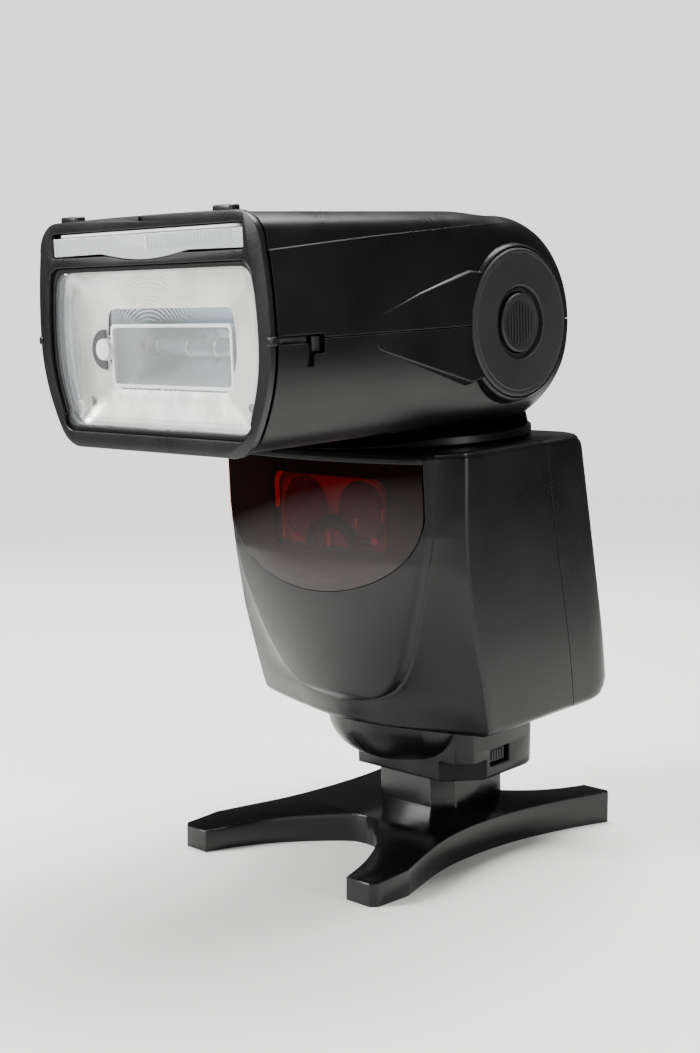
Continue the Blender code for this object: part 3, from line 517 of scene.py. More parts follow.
def red_window():
    """Deep red window plastic with a hard glossy face."""
    tint, haze = (0.60, 0.011, 0.015), (0.03, 0.0, 0.001)
    n = clear_pane("deep_red_window", tint, 0.93, 0.02, haze, 40.0, 0.012, 0.03)
    n.feed(n.blend, {"Fac": n.remap(n.noise(60.0), 0.3, 0.7, 0.9, 0.96)})
    return n.material


def light_box():
    """Cream moulding with a soft uneven shine and darker patches painted in as reflections and shade, like
    a plated light box.
    """
    n = Nodes("cream_light_box")
    reflection_patches = n.noise(48.0, 2.0, 0.45)
    cream, shade = rgba((0.95, 0.93, 0.87)), rgba((0.60, 0.575, 0.49))
    # Cream and darker cream mixed by noise: painted reflections and shade of a plated surface.
    paint = n.mix_colour(n.remap(reflection_patches, 0.42, 0.62, 0.0, 1.0), cream, shade)
    sheen = n.remap(reflection_patches, 0.3, 0.7, 0.2, 0.34)
    n.feed(n.shader, {"Base Color": paint, "Roughness": sheen, "Metallic": 0.35})
    n.bump(n.noise(160.0), 0.25, 0.6, 0.2)
    return n.material


def make_looks():
    """Slot and material of every look.

    Plastics: slot, name, colour, roughness, grain depth, grain scale, edge softening, other settings.
    Panes: slot, name, tint, open share, roughness, haze, ripple scale, calm and rippled roughness.
    """
    plastics = {
        "shell": ("satin_black", "satin_black_shell", (0.0032, 0.0032, 0.0035),
                  0.33, 0.006, 2600.0, 0.3, {"gloss": 0.32}),
        "ring": ("rim_black", "satin_black_ring", (0.007, 0.007, 0.0073), 0.32, 0.008, 2400.0, 0.25, {}),
        "cap": ("cap_grey", "matt_grey_cap", (0.013, 0.013, 0.0135), 0.5, 0.015, 1800.0, 0.25, {}),
        "inner": ("satin_black", "dark_inner_plastic", (0.003, 0.003, 0.0033),
                  0.5, 0.015, 2000.0, 0.2, {"gloss": 0.25}),
        "stand": ("stand_black", "stand_plastic", (0.0018, 0.0018, 0.002), 0.15, 0.003, 2200.0, 0.45, {}),
        "button": ("rubber", "button_rubber", (0.014, 0.014, 0.015), 0.6, 0.02, 1900.0, 0.25, {}),
        "white": ("white", "white_plastic", (0.78, 0.78, 0.76), 0.45, 0.008, 1500.0, 0.2, {"wear_and_highlight": 0.0}),
        "print": ("white", "white_print", (0.75, 0.75, 0.73), 0.5, 0.004, 2500.0, 0.0, {"wear_and_highlight": 0.0}),
        "board": ("board", "circuit_board_green", (0.015, 0.09, 0.035),
                  0.4, 0.02, 700.0, 0.1, {"coat": 0.3}),
        "cell": ("cell", "cell_sleeve", (0.08, 0.11, 0.18), 0.3, 0.004, 900.0, 0.3, {"coat": 0.4}),
        "screen": ("screen", "screen_base", (0.30, 0.34, 0.29),
                   0.25, 0.002, 900.0, 0.0, {"coat": 0.6, "wear_and_highlight": 0.0}),
        # Near-black matte look that stands in for shade where the inside is dark: painted shade.
        "shade_black": ("satin_black", "lightless_backing", (0.004, 0.003, 0.003),
                 0.7, 0.02, 900.0, 0.0, {"wear_and_highlight": 0.0, "gloss": 0.1}),
        "tinted": ("white", "dark_chrome_bowl", (0.30, 0.24, 0.20),
                   0.16, 0.01, 900.0, 0.1, {"coat": 0.8, "wear_and_highlight": 0.0, "gloss": 1.0}),
        "ink": ("screen", "screen_segments", (0.02, 0.025, 0.02), 0.3, 0.002, 900.0, 0.0, {"wear_and_highlight": 0.0}),
    }
    looks = {key: (slot, moulded(*values, **extra)) for key, (slot, *values, extra) in plastics.items()}
    looks["steel"] = ("steel", metal("drawn_steel", (0.62, 0.62, 0.61), 0.28))
    looks["brass"] = ("steel", metal("turned_brass", (0.74, 0.55, 0.26), 0.26))
    looks["mirror"] = ("white", metal("bright_reflector", (0.9, 0.9, 0.91), 0.12, (1.0, 1.0, 1.0), 0.002))
    looks["satin_metal"] = ("mirror",
                            metal("satin_reflector", (0.80, 0.84, 0.87), 0.42, (30.0, 1.0, 1.0), 0.003))
    looks["clear"] = ("clear", clear_plastic())
    panes = {
        "pane": ("clear", "screen_pane", (0.93, 0.95, 0.93), 0.95, 0.02, (0.5, 0.5, 0.5),
                 200.0, 0.02, 0.05),
        "glass": ("tube_glass", "tube_glass", (0.98, 0.98, 0.97), 0.9, 0.01, (0.75, 0.75, 0.72),
                  300.0, 0.01, 0.05),
        "tube": ("tube_glass", "xenon_tube_wall", (0.80, 0.86, 0.9), 0.72, 0.02, (0.5, 0.56, 0.6),
                 300.0, 0.01, 0.05),
    }
    for key, (slot, *values) in panes.items():
        looks[key] = (slot, clear_pane(*values).material)
    looks["lens"] = ("clear", flash_window())
    looks["strip"] = ("clear", ribbed_panel())
    looks["red"] = ("dark_red", red_window())
    looks["cream"] = ("mirror", light_box())
    return looks


LOOKS = make_looks()


# ------------------------------------------------------------------ head

def side_upper(z):
    return SIDE - z * z / 190.0


def side_lower(z):
    return SIDE - z * z / 60.0


def half_outline(height, lower=0.0, crease=None, step=0.0, count=70):
    """Right-hand section from the side (0) to the middle of the top (height).

    lower blends from the broad upper shape (0) to the tucked-in lower one (1).
    crease is the height of the top cover's edge, where the skin steps in.
    """
    def upper(count):
        radius = 6.1
        corner = height - radius
        line = [(side_upper(z), z) for z in np.linspace(0.0, corner, 24)]
        middle = side_upper(corner) - radius
        arc = circle(radius, 20, (middle, corner), 0.0, 90.0)
        flat = [(x, height + 0.25 * (1 - (x / middle) ** 2)) for x in np.linspace(middle, 0.0, 12)]
        return spread(line + arc[1:] + flat[1:], count)

    def under(count):
        radius = 7.2
        start = height - 3.6
        lean = atan2(start, 30.0)
        line = [(side_lower(z), z) for z in np.linspace(0.0, start, 24)]
        middle = (side_lower(start) - radius * cos(lean), start - radius * sin(lean))
        arc = circle(radius, 20, middle, degrees(lean), 90.0 - degrees(lean))
        top = arc[-1]
        flat = [(x, top[1]) for x in np.linspace(top[0], 0.0, 12)]
        points = spread(line + arc[1:] + flat[1:], count)
        points[:, 1] *= height / top[1]
        return points

    points = upper(count) * (1.0 - lower) + under(count) * lower
    if crease is None or step <= 0.0:
        return points
    at = int(np.argmax(points[:, 1] > crease))
    share = (crease - points[at - 1, 1]) / (points[at, 1] - points[at - 1, 1])
    edge = mix(points[at - 1], points[at], share)
    first = spread(np.vstack((points[:at], edge)), 30)
    second = spread(np.vstack((edge, points[at:])), count - 30)
    inward = np.stack((-np.gradient(second[:, 1]), np.gradient(second[:, 0])), 1)
    inward /= np.linalg.norm(inward, axis=1, keepdims=True)
    fade = np.clip((second[:, 0] - 2.0) / 8.0, 0.0, 1.0)[:, None]
    second = second + inward * step * fade
    return np.vstack((first, second))


def crease_height(y):
    return float(np.interp(y, [-70.3, -69.3, -41.2, -12.0, 0.0], [14.2, 15.9, 18.1, 20.0, 20.6]))


def top_height(y):
    return TOP - 0.95 * smoothstep(-15.0, 0.0, y)


def whole_section(half):
    """Both sides of a half-outline, right to left."""
    left = half[::-1][1:].copy()
    left[:, 0] *= -1.0
    return np.vstack((half, left))


def head_rows(upper):
    """Sections of one head shell from the front to the seam behind the barrel."""
    rows = []
    for y in np.linspace(SHELL_FRONT, 0.0, 60):
        if upper:
            half = half_outline(top_height(y), 0.0, crease_height(y), 0.32)
            rows.append([(x, y, z) for x, z in whole_section(half)])
        else:
            half = half_outline(-BOTTOM, 1.0 - 0.35 * smoothstep(-24.0, 0.0, y))
            rows.append([(x, y, -z) for x, z in whole_section(half)])
    for angle in np.linspace(90.0, 0.0, 26)[1:]:
        a = radians(angle)
        if upper:
            fade = smoothstep(35.0, 88.0, angle)
            half = half_outline(BARREL + 0.05 * fade, 0.0, 20.6, 0.32 * fade + 1e-4)
            rows.append([(x, r * cos(a), r * sin(a)) for x, r in whole_section(half)])
        else:
            radius = min(BARREL, -BOTTOM / max(sin(a), 1e-3))
            half = half_outline(radius, 0.65 * smoothstep(20.0, 90.0, angle))
            rows.append([(x, r * cos(a), -r * sin(a)) for x, r in whole_section(half)])
    return rows


def button_bore():
    return lathe_mesh([(0.0, 26.0), (6.9, 26.0), (6.9, 40.0), (0.0, 40.0)], "x", sides=64)


def build_head():
    half = DRUM_HALF + 0.4
    key = [(-67.3, 0.8), (-67.3, -0.8), (-61.0, -0.8), (-61.0, -5.0), (-59.2, -5.0),
           (-59.2, -2.8), (-56.6, -2.8), (-56.6, 0.8)]
    for name, upper in (("head_upper", True), ("head_lower", False)):
        piece = make_piece(name, grid_mesh(head_rows(upper)), "head", "shell", name + "_shell")
        thicken(piece, 1.3)
        front, low, high = (-6.0, -3.0, 40.0) if upper else (-9.0, -40.0, 3.0)
        cut(piece, [(-half, front), (half, front), (half, 30.0), (-half, 30.0)], "z", low, high)
        cut(piece, key, "x", 30.0, 40.0)
        cut(piece, key, "x", -40.0, -30.0)
        combine(piece, box_mesh((-50, -90, -0.12), (50, 50, 0.12)))
        combine(piece, button_bore())
        smooth(piece, 28)
    for side, word in SIDES:
        rim = [(3.4, 0.0), (21.4, 0.0), (21.6, 0.3), (21.6, 0.9), (21.4, 1.2), (3.4, 1.2)]
        shift = Matrix.Translation((side * (DRUM_HALF + 0.5) - (1.2 if side < 0 else 0.0), 0, 0))
        make_piece("head_cheek_" + word, lathe_mesh(rim, "x"), "head", "inner", matrix=FLASH @ shift)
    build_facets()


def facet_outline(grow):
    """Side facet: a pointed tongue that runs back into the pivot cap's boss."""
    radius = CAP_RADIUS + 0.25 + grow
    tip = [(-42.0 - grow, 3.2 + grow * 0.4), (-43.0 - grow, 1.8), (-43.1 - grow, -1.6),
           (-42.0 - grow, -3.0 - grow * 0.4)]
    top = [(-15.2, 10.6 + grow), (-30.0, 6.9 + grow)]
    low = [(-30.0, -6.6 - grow), (-15.4, -11.0 - grow)]
    reach = degrees(atan2(10.8, -12.0))
    arc = circle(radius, 60, (0.0, 0.0), -reach, 2 * reach)
    return top + tip + low + arc


def build_facets():
    """Raised side facets with the seat for the pivot cap, and the keyway's inner rails."""
    seat_radius = CAP_RADIUS + 0.2
    for side, word in SIDES:
        rows = []
        for x, grow in ((29.5, 1.6), (SIDE - 0.55, 0.5), (SIDE - 0.2, 0.2), (SIDE - 0.05, 0.0)):
            rows.append([(side * x, y, z) for y, z in facet_outline(grow)])
        facet = grid_mesh(rows, wrap=True, caps=True)
        piece = make_piece("side_facet_" + word, facet, "head", "shell", sharp=25)
        seat = lathe_mesh([(0.0, 31.0), (seat_radius, 31.0), (seat_radius, 40.0), (0.0, 40.0)], "x")
        combine(piece, seat, FLASH @ Matrix.Scale(side, 4, X_AXIS) if side < 0 else FLASH)
        near, far = sorted((30 * side, 40 * side))
        combine(piece, box_mesh((near, -50, -0.1), (far, -15.0, 0.1)))
        if side > 0:
            combine(piece, button_bore())
        smooth(piece, 25)
        rails = joined([box_mesh((32.6, -66.9, -0.45), (33.5, -60.4, 0.45)),
                        box_mesh((32.4, -59.0, -2.4), (33.3, -56.9, 0.4)),
                        box_mesh((32.4, -60.8, -4.7), (33.1, -59.5, -1.1)),
                        box_mesh((31.4, -67.5, -5.2), (31.8, -56.3, 1.0))])
        keys = make_piece("keyway_rails_" + word, rails if side > 0 else flipped(rails), "head", "cap")
        round_edges(keys, 0.15, 2)


def build_caps():
    """Round pivot caps; the right one carries the release button."""
    face = SIDE + 0.3
    back = 32.3
    rim = [(13.9, face), (14.05, face - 0.12), (14.25, face - 0.12), (14.4, face), (14.9, face - 0.05),
           (15.2, face - 0.35), (CAP_RADIUS, back)]
    ring = [(7.3, face - 0.9), (7.5, face - 0.15), (7.7, face)] + rim + [(6.4, back), (6.4, face - 0.9)]
    make_piece("pivot_cap_right_face", lathe_mesh(ring, "x"), "head", "cap", "pivot_cap_right", sharp=25)
    plain = flipped(lathe_mesh([(0.0, face)] + rim + [(0.0, back)], "x"))
    make_piece("pivot_cap_left_face", plain, "head", "cap", "pivot_cap_left", sharp=25)
    top = SIDE + 0.5
    button = [(0.0, top - 0.35), (4.6, top - 0.25), (5.3, top - 0.05), (5.8, top - 0.1), (6.05, top - 0.4),
              (6.1, 30.6), (0.0, 30.6)]
    make_piece("release_button_face", lathe_mesh(button, "x"), "release_button", "cap", "release_button")
    pitch = 0.95
    for i in range(-4, 5):
        reach = sqrt(4.4 ** 2 - (i * pitch) ** 2)
        rib = prism_mesh(rounded(0.24, reach, 0.23, 4, (i * pitch, 0.0)), "x", top - 0.6, top - 0.08)
        make_piece("release_rib_%d" % (i + 4), rib, "release_button", "cap")


def ring_outline(grow=0.0):
    """Outer outline of the front ring, right half from the top."""
    upper = half_outline(TOP + grow, 0.0, count=60)
    under = half_outline(-BOTTOM + 0.7 + grow, 1.0, count=60)
    right = [(x, z) for x, z in upper[::-1]] + [(x, -z) for x, z in under[1:]]
    return [(x + grow * (1 if x > 1 else 0), z) for x, z in right]


def lens_outline(inset=0.0):
    """Flash window outline with bowed sides, right half from the top."""
    top, bottom, side = LENS_TOP - inset, LENS_BOTTOM + inset, LENS_HALF - inset
    half = [(0.0, top), (side - 5.6, top)]
    half += circle(3.2, 8, (side - 4.1, top - 3.2), 80.0, -75.0)
    half += [(side - (z + 0.5) ** 2 / 150.0, z) for z in np.linspace(top - 4.4, -0.5, 8)]
    half += [(side - (z + 0.5) ** 2 / 62.0, z) for z in np.linspace(-3.0, bottom + 3.4, 8)]
    end = half[-1]
    half += circle(3.4, 7, (end[0] - 3.1, bottom + 3.4), -15.0, -75.0)
    half += [(0.0, bottom)]
    return half


def build_front():
    outline = mirrored(ring_outline())
    ring = make_piece("front_ring", prism_mesh(outline, "y", RING_FRONT, -68.9), "head", "ring",
                      node="front_bezel")
    collar = [(x * 0.955, z * 0.955) for x, z in outline]
    combine(ring, prism_mesh(collar, "y", -69.2, -65.0), operation="UNION")
    cut(ring, mirrored(lens_outline(-0.25)), *THROUGH_RING)
    cut(ring, rounded(28.6, 2.45, 0.5, 5, (0.0, 18.75)), *THROUGH_RING)
    cut(ring, tab_arc(0.2) + [(14.2, 17.5), (-14.2, 17.5)], *THROUGH_RING)
    notch = box_mesh((-0.6, -80.0, 22.5), (0.6, -69.6, 30.0))
    combine(ring, notch)
    round_edges(ring, 0.4, 3, 45)
    for side, word in SIDES:
        tab = prism_mesh(rounded(2.4, 0.75, 0.4, 4, (22.9 * side, TOP + 0.3)), "y", -70.1, -67.6)
        bump = prism_mesh(rounded(0.9, 0.8, 0.3, 4, (-69.6, 0.0)), "x", *sorted((side * 33.6, side * 34.9)))
        for kind, mesh in (("tab", tab), ("bump", bump)):
            round_edges(make_piece("ring_%s_%s" % (kind, word), mesh, "head", "ring"), 0.2, 2)
    seat = make_piece("window_frame", prism_mesh(mirrored(lens_outline(-0.2)), "y", -69.5, -66.6), "head",
                      "inner")
    cut(seat, mirrored(lens_outline(0.8)), *THROUGH_RING)
    round_edges(seat, 0.25, 2)
    build_lens()
    build_cards()


def build_lens():
    """Slightly domed front window over the bright light box."""
    outline = mirrored(lens_outline(0.1))
    rows = []
    for share, depth in ((1.0, -67.6), (1.0, -69.0), (0.985, -69.25), (0.8, -69.4), (0.5, -69.5),
                         (0.2, -69.55), (0.02, -69.55)):
        rows.append([(x * share, depth, -1.8 + (z + 1.8) * share) for x, z in outline])
    make_piece("flash_window", grid_mesh(rows, wrap=True, caps=False), "head", "lens", sharp=40,
               node="fresnel_lens")
    walls = []
    for y, share_x, share_z in ((-67.2, 0.97, 0.97), (-66.0, 0.93, 0.9), (-65.3, 0.72, 0.6),
                                (-64.7, 0.62, 0.5)):
        walls.append([(x * share_x, y, -2.0 + (z + 2.0) * share_z) for x, z in outline])
    make_piece("light_box", grid_mesh(walls, wrap=True), "head", "cream", sharp=40)
    for i, inset in enumerate((1.0, 2.3)):
        step = prism_mesh(mirrored(lens_outline(inset)), "y", -68.7 + 0.3 * i, -67.3)
        frame_line = make_piece("window_step_%d" % i, step, "head", "clear")
        cut(frame_line, mirrored(lens_outline(inset + 0.3)), *THROUGH_RING)
    for i in range(6):
        x = 28.3 - 0.62 * i
        bar = prism_mesh(rounded(0.14, 10.8 - 0.1 * i, 0.13, 3, (x, -1.8)), "y", -68.2, -67.4)
        make_piece("window_rib_%d" % i, flipped(bar), "head", "clear")
    build_flash_tube()


def build_flash_tube():
    """Sliding light source: trough reflector, tube with its end caps, and the clear pane in front."""
    def trough(x, floor, depth, reach, steps):
        return [(x, floor - depth * abs(t) ** 2.2, LENS_MIDDLE + t * reach)
                for t in np.linspace(-1.0, 1.0, steps)]

    stations = [-19.3, -18.9, -18.5, *np.linspace(-17.0, 17.0, 9), 18.5, 18.9, 19.3]
    rows = [trough(x, -51.3, 12.5, 8.9, 33) for x in stations]
    for end in (0, -1):
        rows[end] = [(x, -63.8, z) for x, y, z in rows[end]]
    reflector = make_piece("reflector_trough", grid_mesh(rows), "zoom_carriage", "satin_metal", "reflector",
                           sharp=50)
    thicken(reflector, 0.4)
    for i in range(9):
        ridge = trough(-16.0 + 4.0 * i, -51.8, 12.2, 8.6, 21)
        rows = []
        for aside, ahead in ((-0.35, 0.0), (0.0, -0.3), (0.35, 0.0)):
            rows.append([(x + aside, y + ahead, z) for x, y, z in ridge])
        make_piece("reflector_flute_%d" % i, grid_mesh(rows), "zoom_carriage", "satin_metal", sharp=60)
    wall = [(1.3, -17.0), (1.8, -16.6), (1.8, 16.6), (1.3, 17.0)]
    make_piece("xenon_tube_glass", lathe_mesh(wall, "x", TUBE_PLACE, 40), "zoom_carriage", "tube",
               "xenon_tube")
    bands = [lathe_mesh([(1.82, x), (1.95, x), (1.95, x + 0.7), (1.82, x + 0.7)], "x", TUBE_PLACE, 40)
             for x in (-13.6, -4.4, 4.0, 12.9)]
    make_piece("xenon_trigger_bands", joined(bands), "zoom_carriage", "steel")
    cap = [(0.0, 16.4), (1.6, 16.4), (1.85, 16.7), (1.85, 19.0), (1.2, 19.3), (0.5, 19.3), (0.5, 22.3),
           (0.0, 22.3)]
    for side, word in SIDES:
        mesh = lathe_mesh(cap, "x", TUBE_PLACE, 32)
        make_piece("xenon_end_" + word, mesh if side > 0 else flipped(mesh), "zoom_carriage", "steel")
    half_width, half_height = PANE_HALF
    face = domed_mesh(rounded(half_width, half_height, 0.9, 6, (0.0, PANE_DROP)), "y", 63.7, 64.4, 0.3, 0.1)
    make_piece("light_pane_face", face, "zoom_carriage", "glass", "tube_glass",
               matrix=FLASH @ Matrix.Rotation(pi, 4, "X"))
    border = rounded(half_width + 0.7, half_height + 0.7, 1.2, 6, (0.0, -PANE_DROP))
    rim = make_piece("light_pane_rim", prism_mesh(border, "y", -64.9, -63.6), "zoom_carriage", "white")
    cut(rim, rounded(half_width, half_height, 0.8, 6, (0.0, -PANE_DROP)), "y", -70.0, -60.0)
    round_edges(rim, 0.15, 2)
    holder = circle(4.0, 33, (-19.6, LENS_MIDDLE), 90.0, 180.0)
    make_piece("tube_holder", prism_mesh(holder, "y", -65.6, -64.5), "head", "cap")
    sleeve = [(0.0, -66.1), (1.3, -66.1), (2.1, -65.8), (2.3, -65.2), (2.3, -64.4), (0.0, -64.4)]
    make_piece("tube_grommet", lathe_mesh(sleeve, "y", (-20.0, LENS_MIDDLE), 40), "head", "white")


def tab_arc(grow):
    """Lower edge of the wide panel's finger tab, left to right."""
    return [(x, 16.75 - grow - 1.35 * cos(pi * x / 26.0)) for x in np.linspace(-13.0, 13.0, 29)]


def build_cards():
    """Clear wide panel with a finger tab, and the white bounce card above it."""
    sheet = prism_mesh(rounded(27.2, 23.6, 1.5, 5, (0.0, -45.6)), "z", 16.9, 18.0)
    plate = make_piece("wide_panel_plate", sheet, "wide_panel", "pane", "wide_panel")
    round_edges(plate, 0.15, 2)
    face = [(-28.3, 16.6)] + tab_arc(0.0) + [(28.3, 16.6), (28.3, 20.25), (-28.3, 20.25)]
    lip = make_piece("wide_panel_lip", prism_mesh(face, "y", RING_FRONT + 0.15, -69.1), "wide_panel",
                     "strip")
    round_edges(lip, 0.25, 2)
    ribs = []
    for i in range(27):
        x = 2.0 + 0.9 * i
        ribs.append(prism_mesh(rounded(0.16, 1.25, 0.12, 2, (x, 18.6)), "y", RING_FRONT + 0.05, -69.6))
    make_piece("wide_panel_ribs", joined(ribs), "wide_panel", "pane")
    tick = prism_mesh(rounded(0.2, 1.5, 0.15, 3, (1.2, 18.4)), "y", RING_FRONT + 0.05, -69.6)
    make_piece("wide_panel_tick", tick, "wide_panel", "white")
    patch = prism_mesh(rounded(5.4, 1.0, 0.3, 4, (-4.6, 19.1)), "y", -69.0, -68.6)
    make_piece("wide_panel_patch", patch, "wide_panel", "cream")
    sheet = prism_mesh(rounded(26.8, 23.6, 1.0, 5, (0.0, -46.1)), "z", 20.35, 20.95)
    card = make_piece("bounce_card_face", sheet, "bounce_card", "white", "bounce_card")
    round_edges(card, 0.15, 2)


# ------------------------------------------------------------------ neck

def build_neck():
    lathe = [(8.0, -24.8), (28.6, -24.8), (29.0, -24.4), (29.0, -23.0), (28.7, -22.75), (28.2, -22.7),
             (8.0, -22.7)]
    turret = make_piece("turret_ring", lathe_mesh(lathe, "z", sides=160), "neck", "shell",
                        node="swivel_turret")
    slope = [(-40, -26.2), (-12.0, -22.5), (-12.0, -10), (-40, -10)]
    cut(turret, slope, "x", -40, 40)
    smooth(turret)
    rows = []
    for z, grow in ((-22.8, 0.0), (-19.3, -0.7), (-18.8, -1.1), (-18.6, -1.6)):
        outer = circle(28.4 + grow, 50, (0, 0), 31.0, 118.0)
        inner = [(x, max(y, 15.0 + (z + 22.8) * 0.9)) for x, y in circle(24.2, 50, (0, 0), 149.0, -118.0)]
        rows.append([(x, y, z) for x, y in outer + inner])
    make_piece("neck_saddle", grid_mesh(rows, wrap=True, caps=True), "neck", "shell")
    chamfer = 0.5
    rim = DRUM_RADIUS - chamfer
    drum = [(20.0, -DRUM_HALF), (rim, -DRUM_HALF), (DRUM_RADIUS, -DRUM_HALF + chamfer),
            (DRUM_RADIUS, DRUM_HALF - chamfer), (rim, DRUM_HALF), (20.0, DRUM_HALF)]
    mesh = lathe_mesh(drum, "x", sides=160)
    barrel = make_piece("neck_barrel", mesh, "neck", "shell", node="neck_drum")
    for along in np.arange(-2, 3) * 4.2:
        low, high = along - 0.25, along + 0.25
        combine(barrel, lathe_mesh([(21.8, low), (23.0, low), (23.0, high), (21.8, high)], "x", sides=120))
    smooth(barrel)


# ------------------------------------------------------------------ body

def shield_half(z):
    """Half-width of the raised front shield at a height."""
    heights = [-80.3, -80.0, -79.3, -78.2, -76.5, -74.0, -71.0, -68.0, -65.0, -60.0, -56.0, -48.0, -42.0,
               -25.0]
    halves = [0.6, 4.5, 8.6, 12.0, 15.0, 17.6, 19.6, 21.2, 22.6, 24.5, 26.0, 28.3, 29.4, 29.9]
    return float(np.interp(z, heights, halves))


def front_middle(z):
    return -29.8 + max(0.0, -48.0 - z) ** 2 * 0.0058


def shield_depth(x, z):
    curve = 0.0048 + 0.00014 * max(0.0, -48.0 - z)
    return front_middle(z) + curve * x * x


def body_side(z):
    return 35.45 - max(0.0, -64.0 - z) ** 2 * 0.002 - 0.9 * smoothstep(-84.0, -86.6, z)


def body_rear(z):
    rear = 30.75 + (-60.0 - z) * sin(radians(REAR_SLOPE))
    rear -= 3.6 * smoothstep(-80.5, -87.0, z) ** 1.5
    return rear - 2.3 * smoothstep(-28.4, -24.6, z) ** 2


def crease_place(z):
    depth = float(np.interp(z, [-86.0, -82.0, -74.7, -64.0, -50.4, -38.8, -25.0],
                            [-12.4, -13.5, -15.1, -17.6, -19.6, -19.7, -19.1]))
    return body_side(z) - 0.45, depth


def body_half_section(z, plain=False):
    """Right half of the plan section, front middle to rear middle; plain leaves out the shield's step."""
    def cheek(x):
        return mix(groove[1], shield_depth(x, z) + lift, smoothstep(groove[0], groove[0] + 2.0, x))

    half = shield_half(z)
    raised = 0.0 if plain else smoothstep(SHIELD_FOOT - 0.6, SHIELD_FOOT + 2.2, z)
    sunk = SHIELD_RISE * (1.0 - raised)
    points = [(x, shield_depth(x, z) + sunk) for x in np.linspace(0.0, 1.0, 26) * max(half - 1.1, 0.1)]
    edge = shield_depth(half, z) + sunk
    start = points[-1]
    step = SHIELD_RISE * raised
    lip = 0.45 * raised
    for t in (0.25, 0.5, 0.75, 1.0):
        points.append((mix(start[0], half, t), mix(start[1], edge, t) + lip * t * t))
    lift = SHIELD_RISE + 0.2 * raised
    groove = (half + 0.9, edge + step + 0.2 * raised)
    points += [(half + 0.3, edge + lip + step * 0.45), (half + 0.6, edge + lip + step * 0.75)]
    root_x = (groove[0] + 15.9 + np.hypot(groove[0] - 15.9, 4.0)) / 2
    points += [(x, cheek(x)) for x in np.linspace(groove[0], root_x, 10)[:-1]]
    root = (root_x, cheek(root_x))
    cx, cy = crease_place(z)
    flat = smoothstep(-70.0, -81.0, z)
    pull = (mix(0.30, 0.46, flat), mix(0.52, 0.36, flat))
    hook = (mix(root[0], cx, pull[0]), mix(root[1], cy, pull[1]))
    for t in np.linspace(0.0, 1.0, 26):
        x = (1 - t) ** 2 * root[0] + 2 * t * (1 - t) * hook[0] + t * t * cx
        y = (1 - t) ** 2 * root[1] + 2 * t * (1 - t) * hook[1] + t * t * cy
        points.append((x, y))
    side, rear = body_side(z), body_rear(z)
    points += [(cx + 0.22, cy + 0.5), (cx + 0.36, cy + 1.2)]
    radius = 9.0
    for y in np.linspace(cy + 2.4, rear - radius, 16):
        bow = 0.25 * (1 - ((y - 4.0) / 26.0) ** 2)
        points.append((side - 0.25 + bow, y))
    points += circle(radius, 16, (side - 0.25 - radius, rear - radius), 6.0, 78.0)
    points += [(x, rear + wall_height(x)) for x in np.linspace(side - radius - 1.2, 0.0, 14)]
    return np.array(points)


def drawn_in(section, amount):
    """Plan section moved towards the middle of the body."""
    towards = BODY_MIDDLE - section
    return section + towards * (amount / np.linalg.norm(towards, axis=1, keepdims=True))


def level(section, z):
    return [(x, y, z) for x, y in section]


def body_rows():
    """Outer skin from the bottom up, over the top, then the inner skin back down."""
    base = whole_section(body_half_section(-84.2))
    rims = [(0.3, BODY_BOTTOM), (0.6, BODY_BOTTOM), (0.86, BODY_BOTTOM + 0.02), (0.92, -86.2)] + SKIRT
    rows = [level(mix(BODY_MIDDLE, base, share), z) for share, z in rims]
    for z in np.concatenate((np.linspace(-84.2, -80.5, 14), np.linspace(-80.3, -70.0, 40),
                             np.linspace(-69.6, -26.2, 90))):
        rows.append(level(whole_section(body_half_section(z)), z))
    top = whole_section(body_half_section(-26.2))
    collar = top / np.linalg.norm(top, axis=1, keepdims=True) * 19.3
    for inset, z in ((0.25, -25.7), (0.7, -25.3), (1.4, BODY_TOP), (4.0, BODY_TOP)):
        rows.append(level(drawn_in(top, inset), z))
    rows += [level(mix(drawn_in(top, 4.0), collar, 0.5), BODY_TOP), level(collar, BODY_TOP),
             level(collar, BODY_TOP - SKIN)]
    for z in np.linspace(BODY_TOP - SKIN, BODY_BOTTOM + SKIN, 30):
        rows.append(level(drawn_in(whole_section(body_half_section(z, True)), SKIN), z))
    inside = whole_section(body_half_section(-84.6, True))
    rows.append(level(mix(BODY_MIDDLE, inside, 0.3), BODY_BOTTOM + SKIN))
    return rows + rows[:1]


def window_outline(grow=0.0):
    side, top = 29.2 + grow, -27.2 + grow
    arc = [(side * cos(a), -37.5 - (17.6 + grow) * sin(a)) for a in np.linspace(0.0, pi, 61)]
    return [(side, top)] + arc + [(-side, top)]


def build_body():
    outer = make_piece("body_outer", grid_mesh(body_rows(), wrap=True), "body", "shell")
    cut(outer, window_outline(0.12), *THROUGH_SHIELD)
    cut(outer, rounded(6.3, 4.8, 2.0, 8, SENSOR_PLACE), "x", -40, -30)
    door = [(-11.25, -95.0), (18.15, -95.0), (18.15, -51.8), (17.15, -50.8), (-10.25, -50.8),
            (-11.25, -51.8)]
    cut(outer, door, "x", -45, -31.7)
    rear = outer.copy()
    rear.data = outer.data.copy()
    rear.name = "body_rear"
    bpy.context.scene.collection.objects.link(rear)
    outer.name = "body_front"
    combine(outer, box_mesh((-60, SEAM - 0.13, -60), (60, 90, 60)), PANEL)
    combine(rear, box_mesh((-60, -90, -60), (60, SEAM + 0.13, 60)), PANEL)
    cut_panel(rear)
    smooth(outer, 24)
    smooth(rear, 28)
    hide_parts("body_front_shell")
    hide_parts("body_rear_shell")
    build_seam_liner()
    build_window()


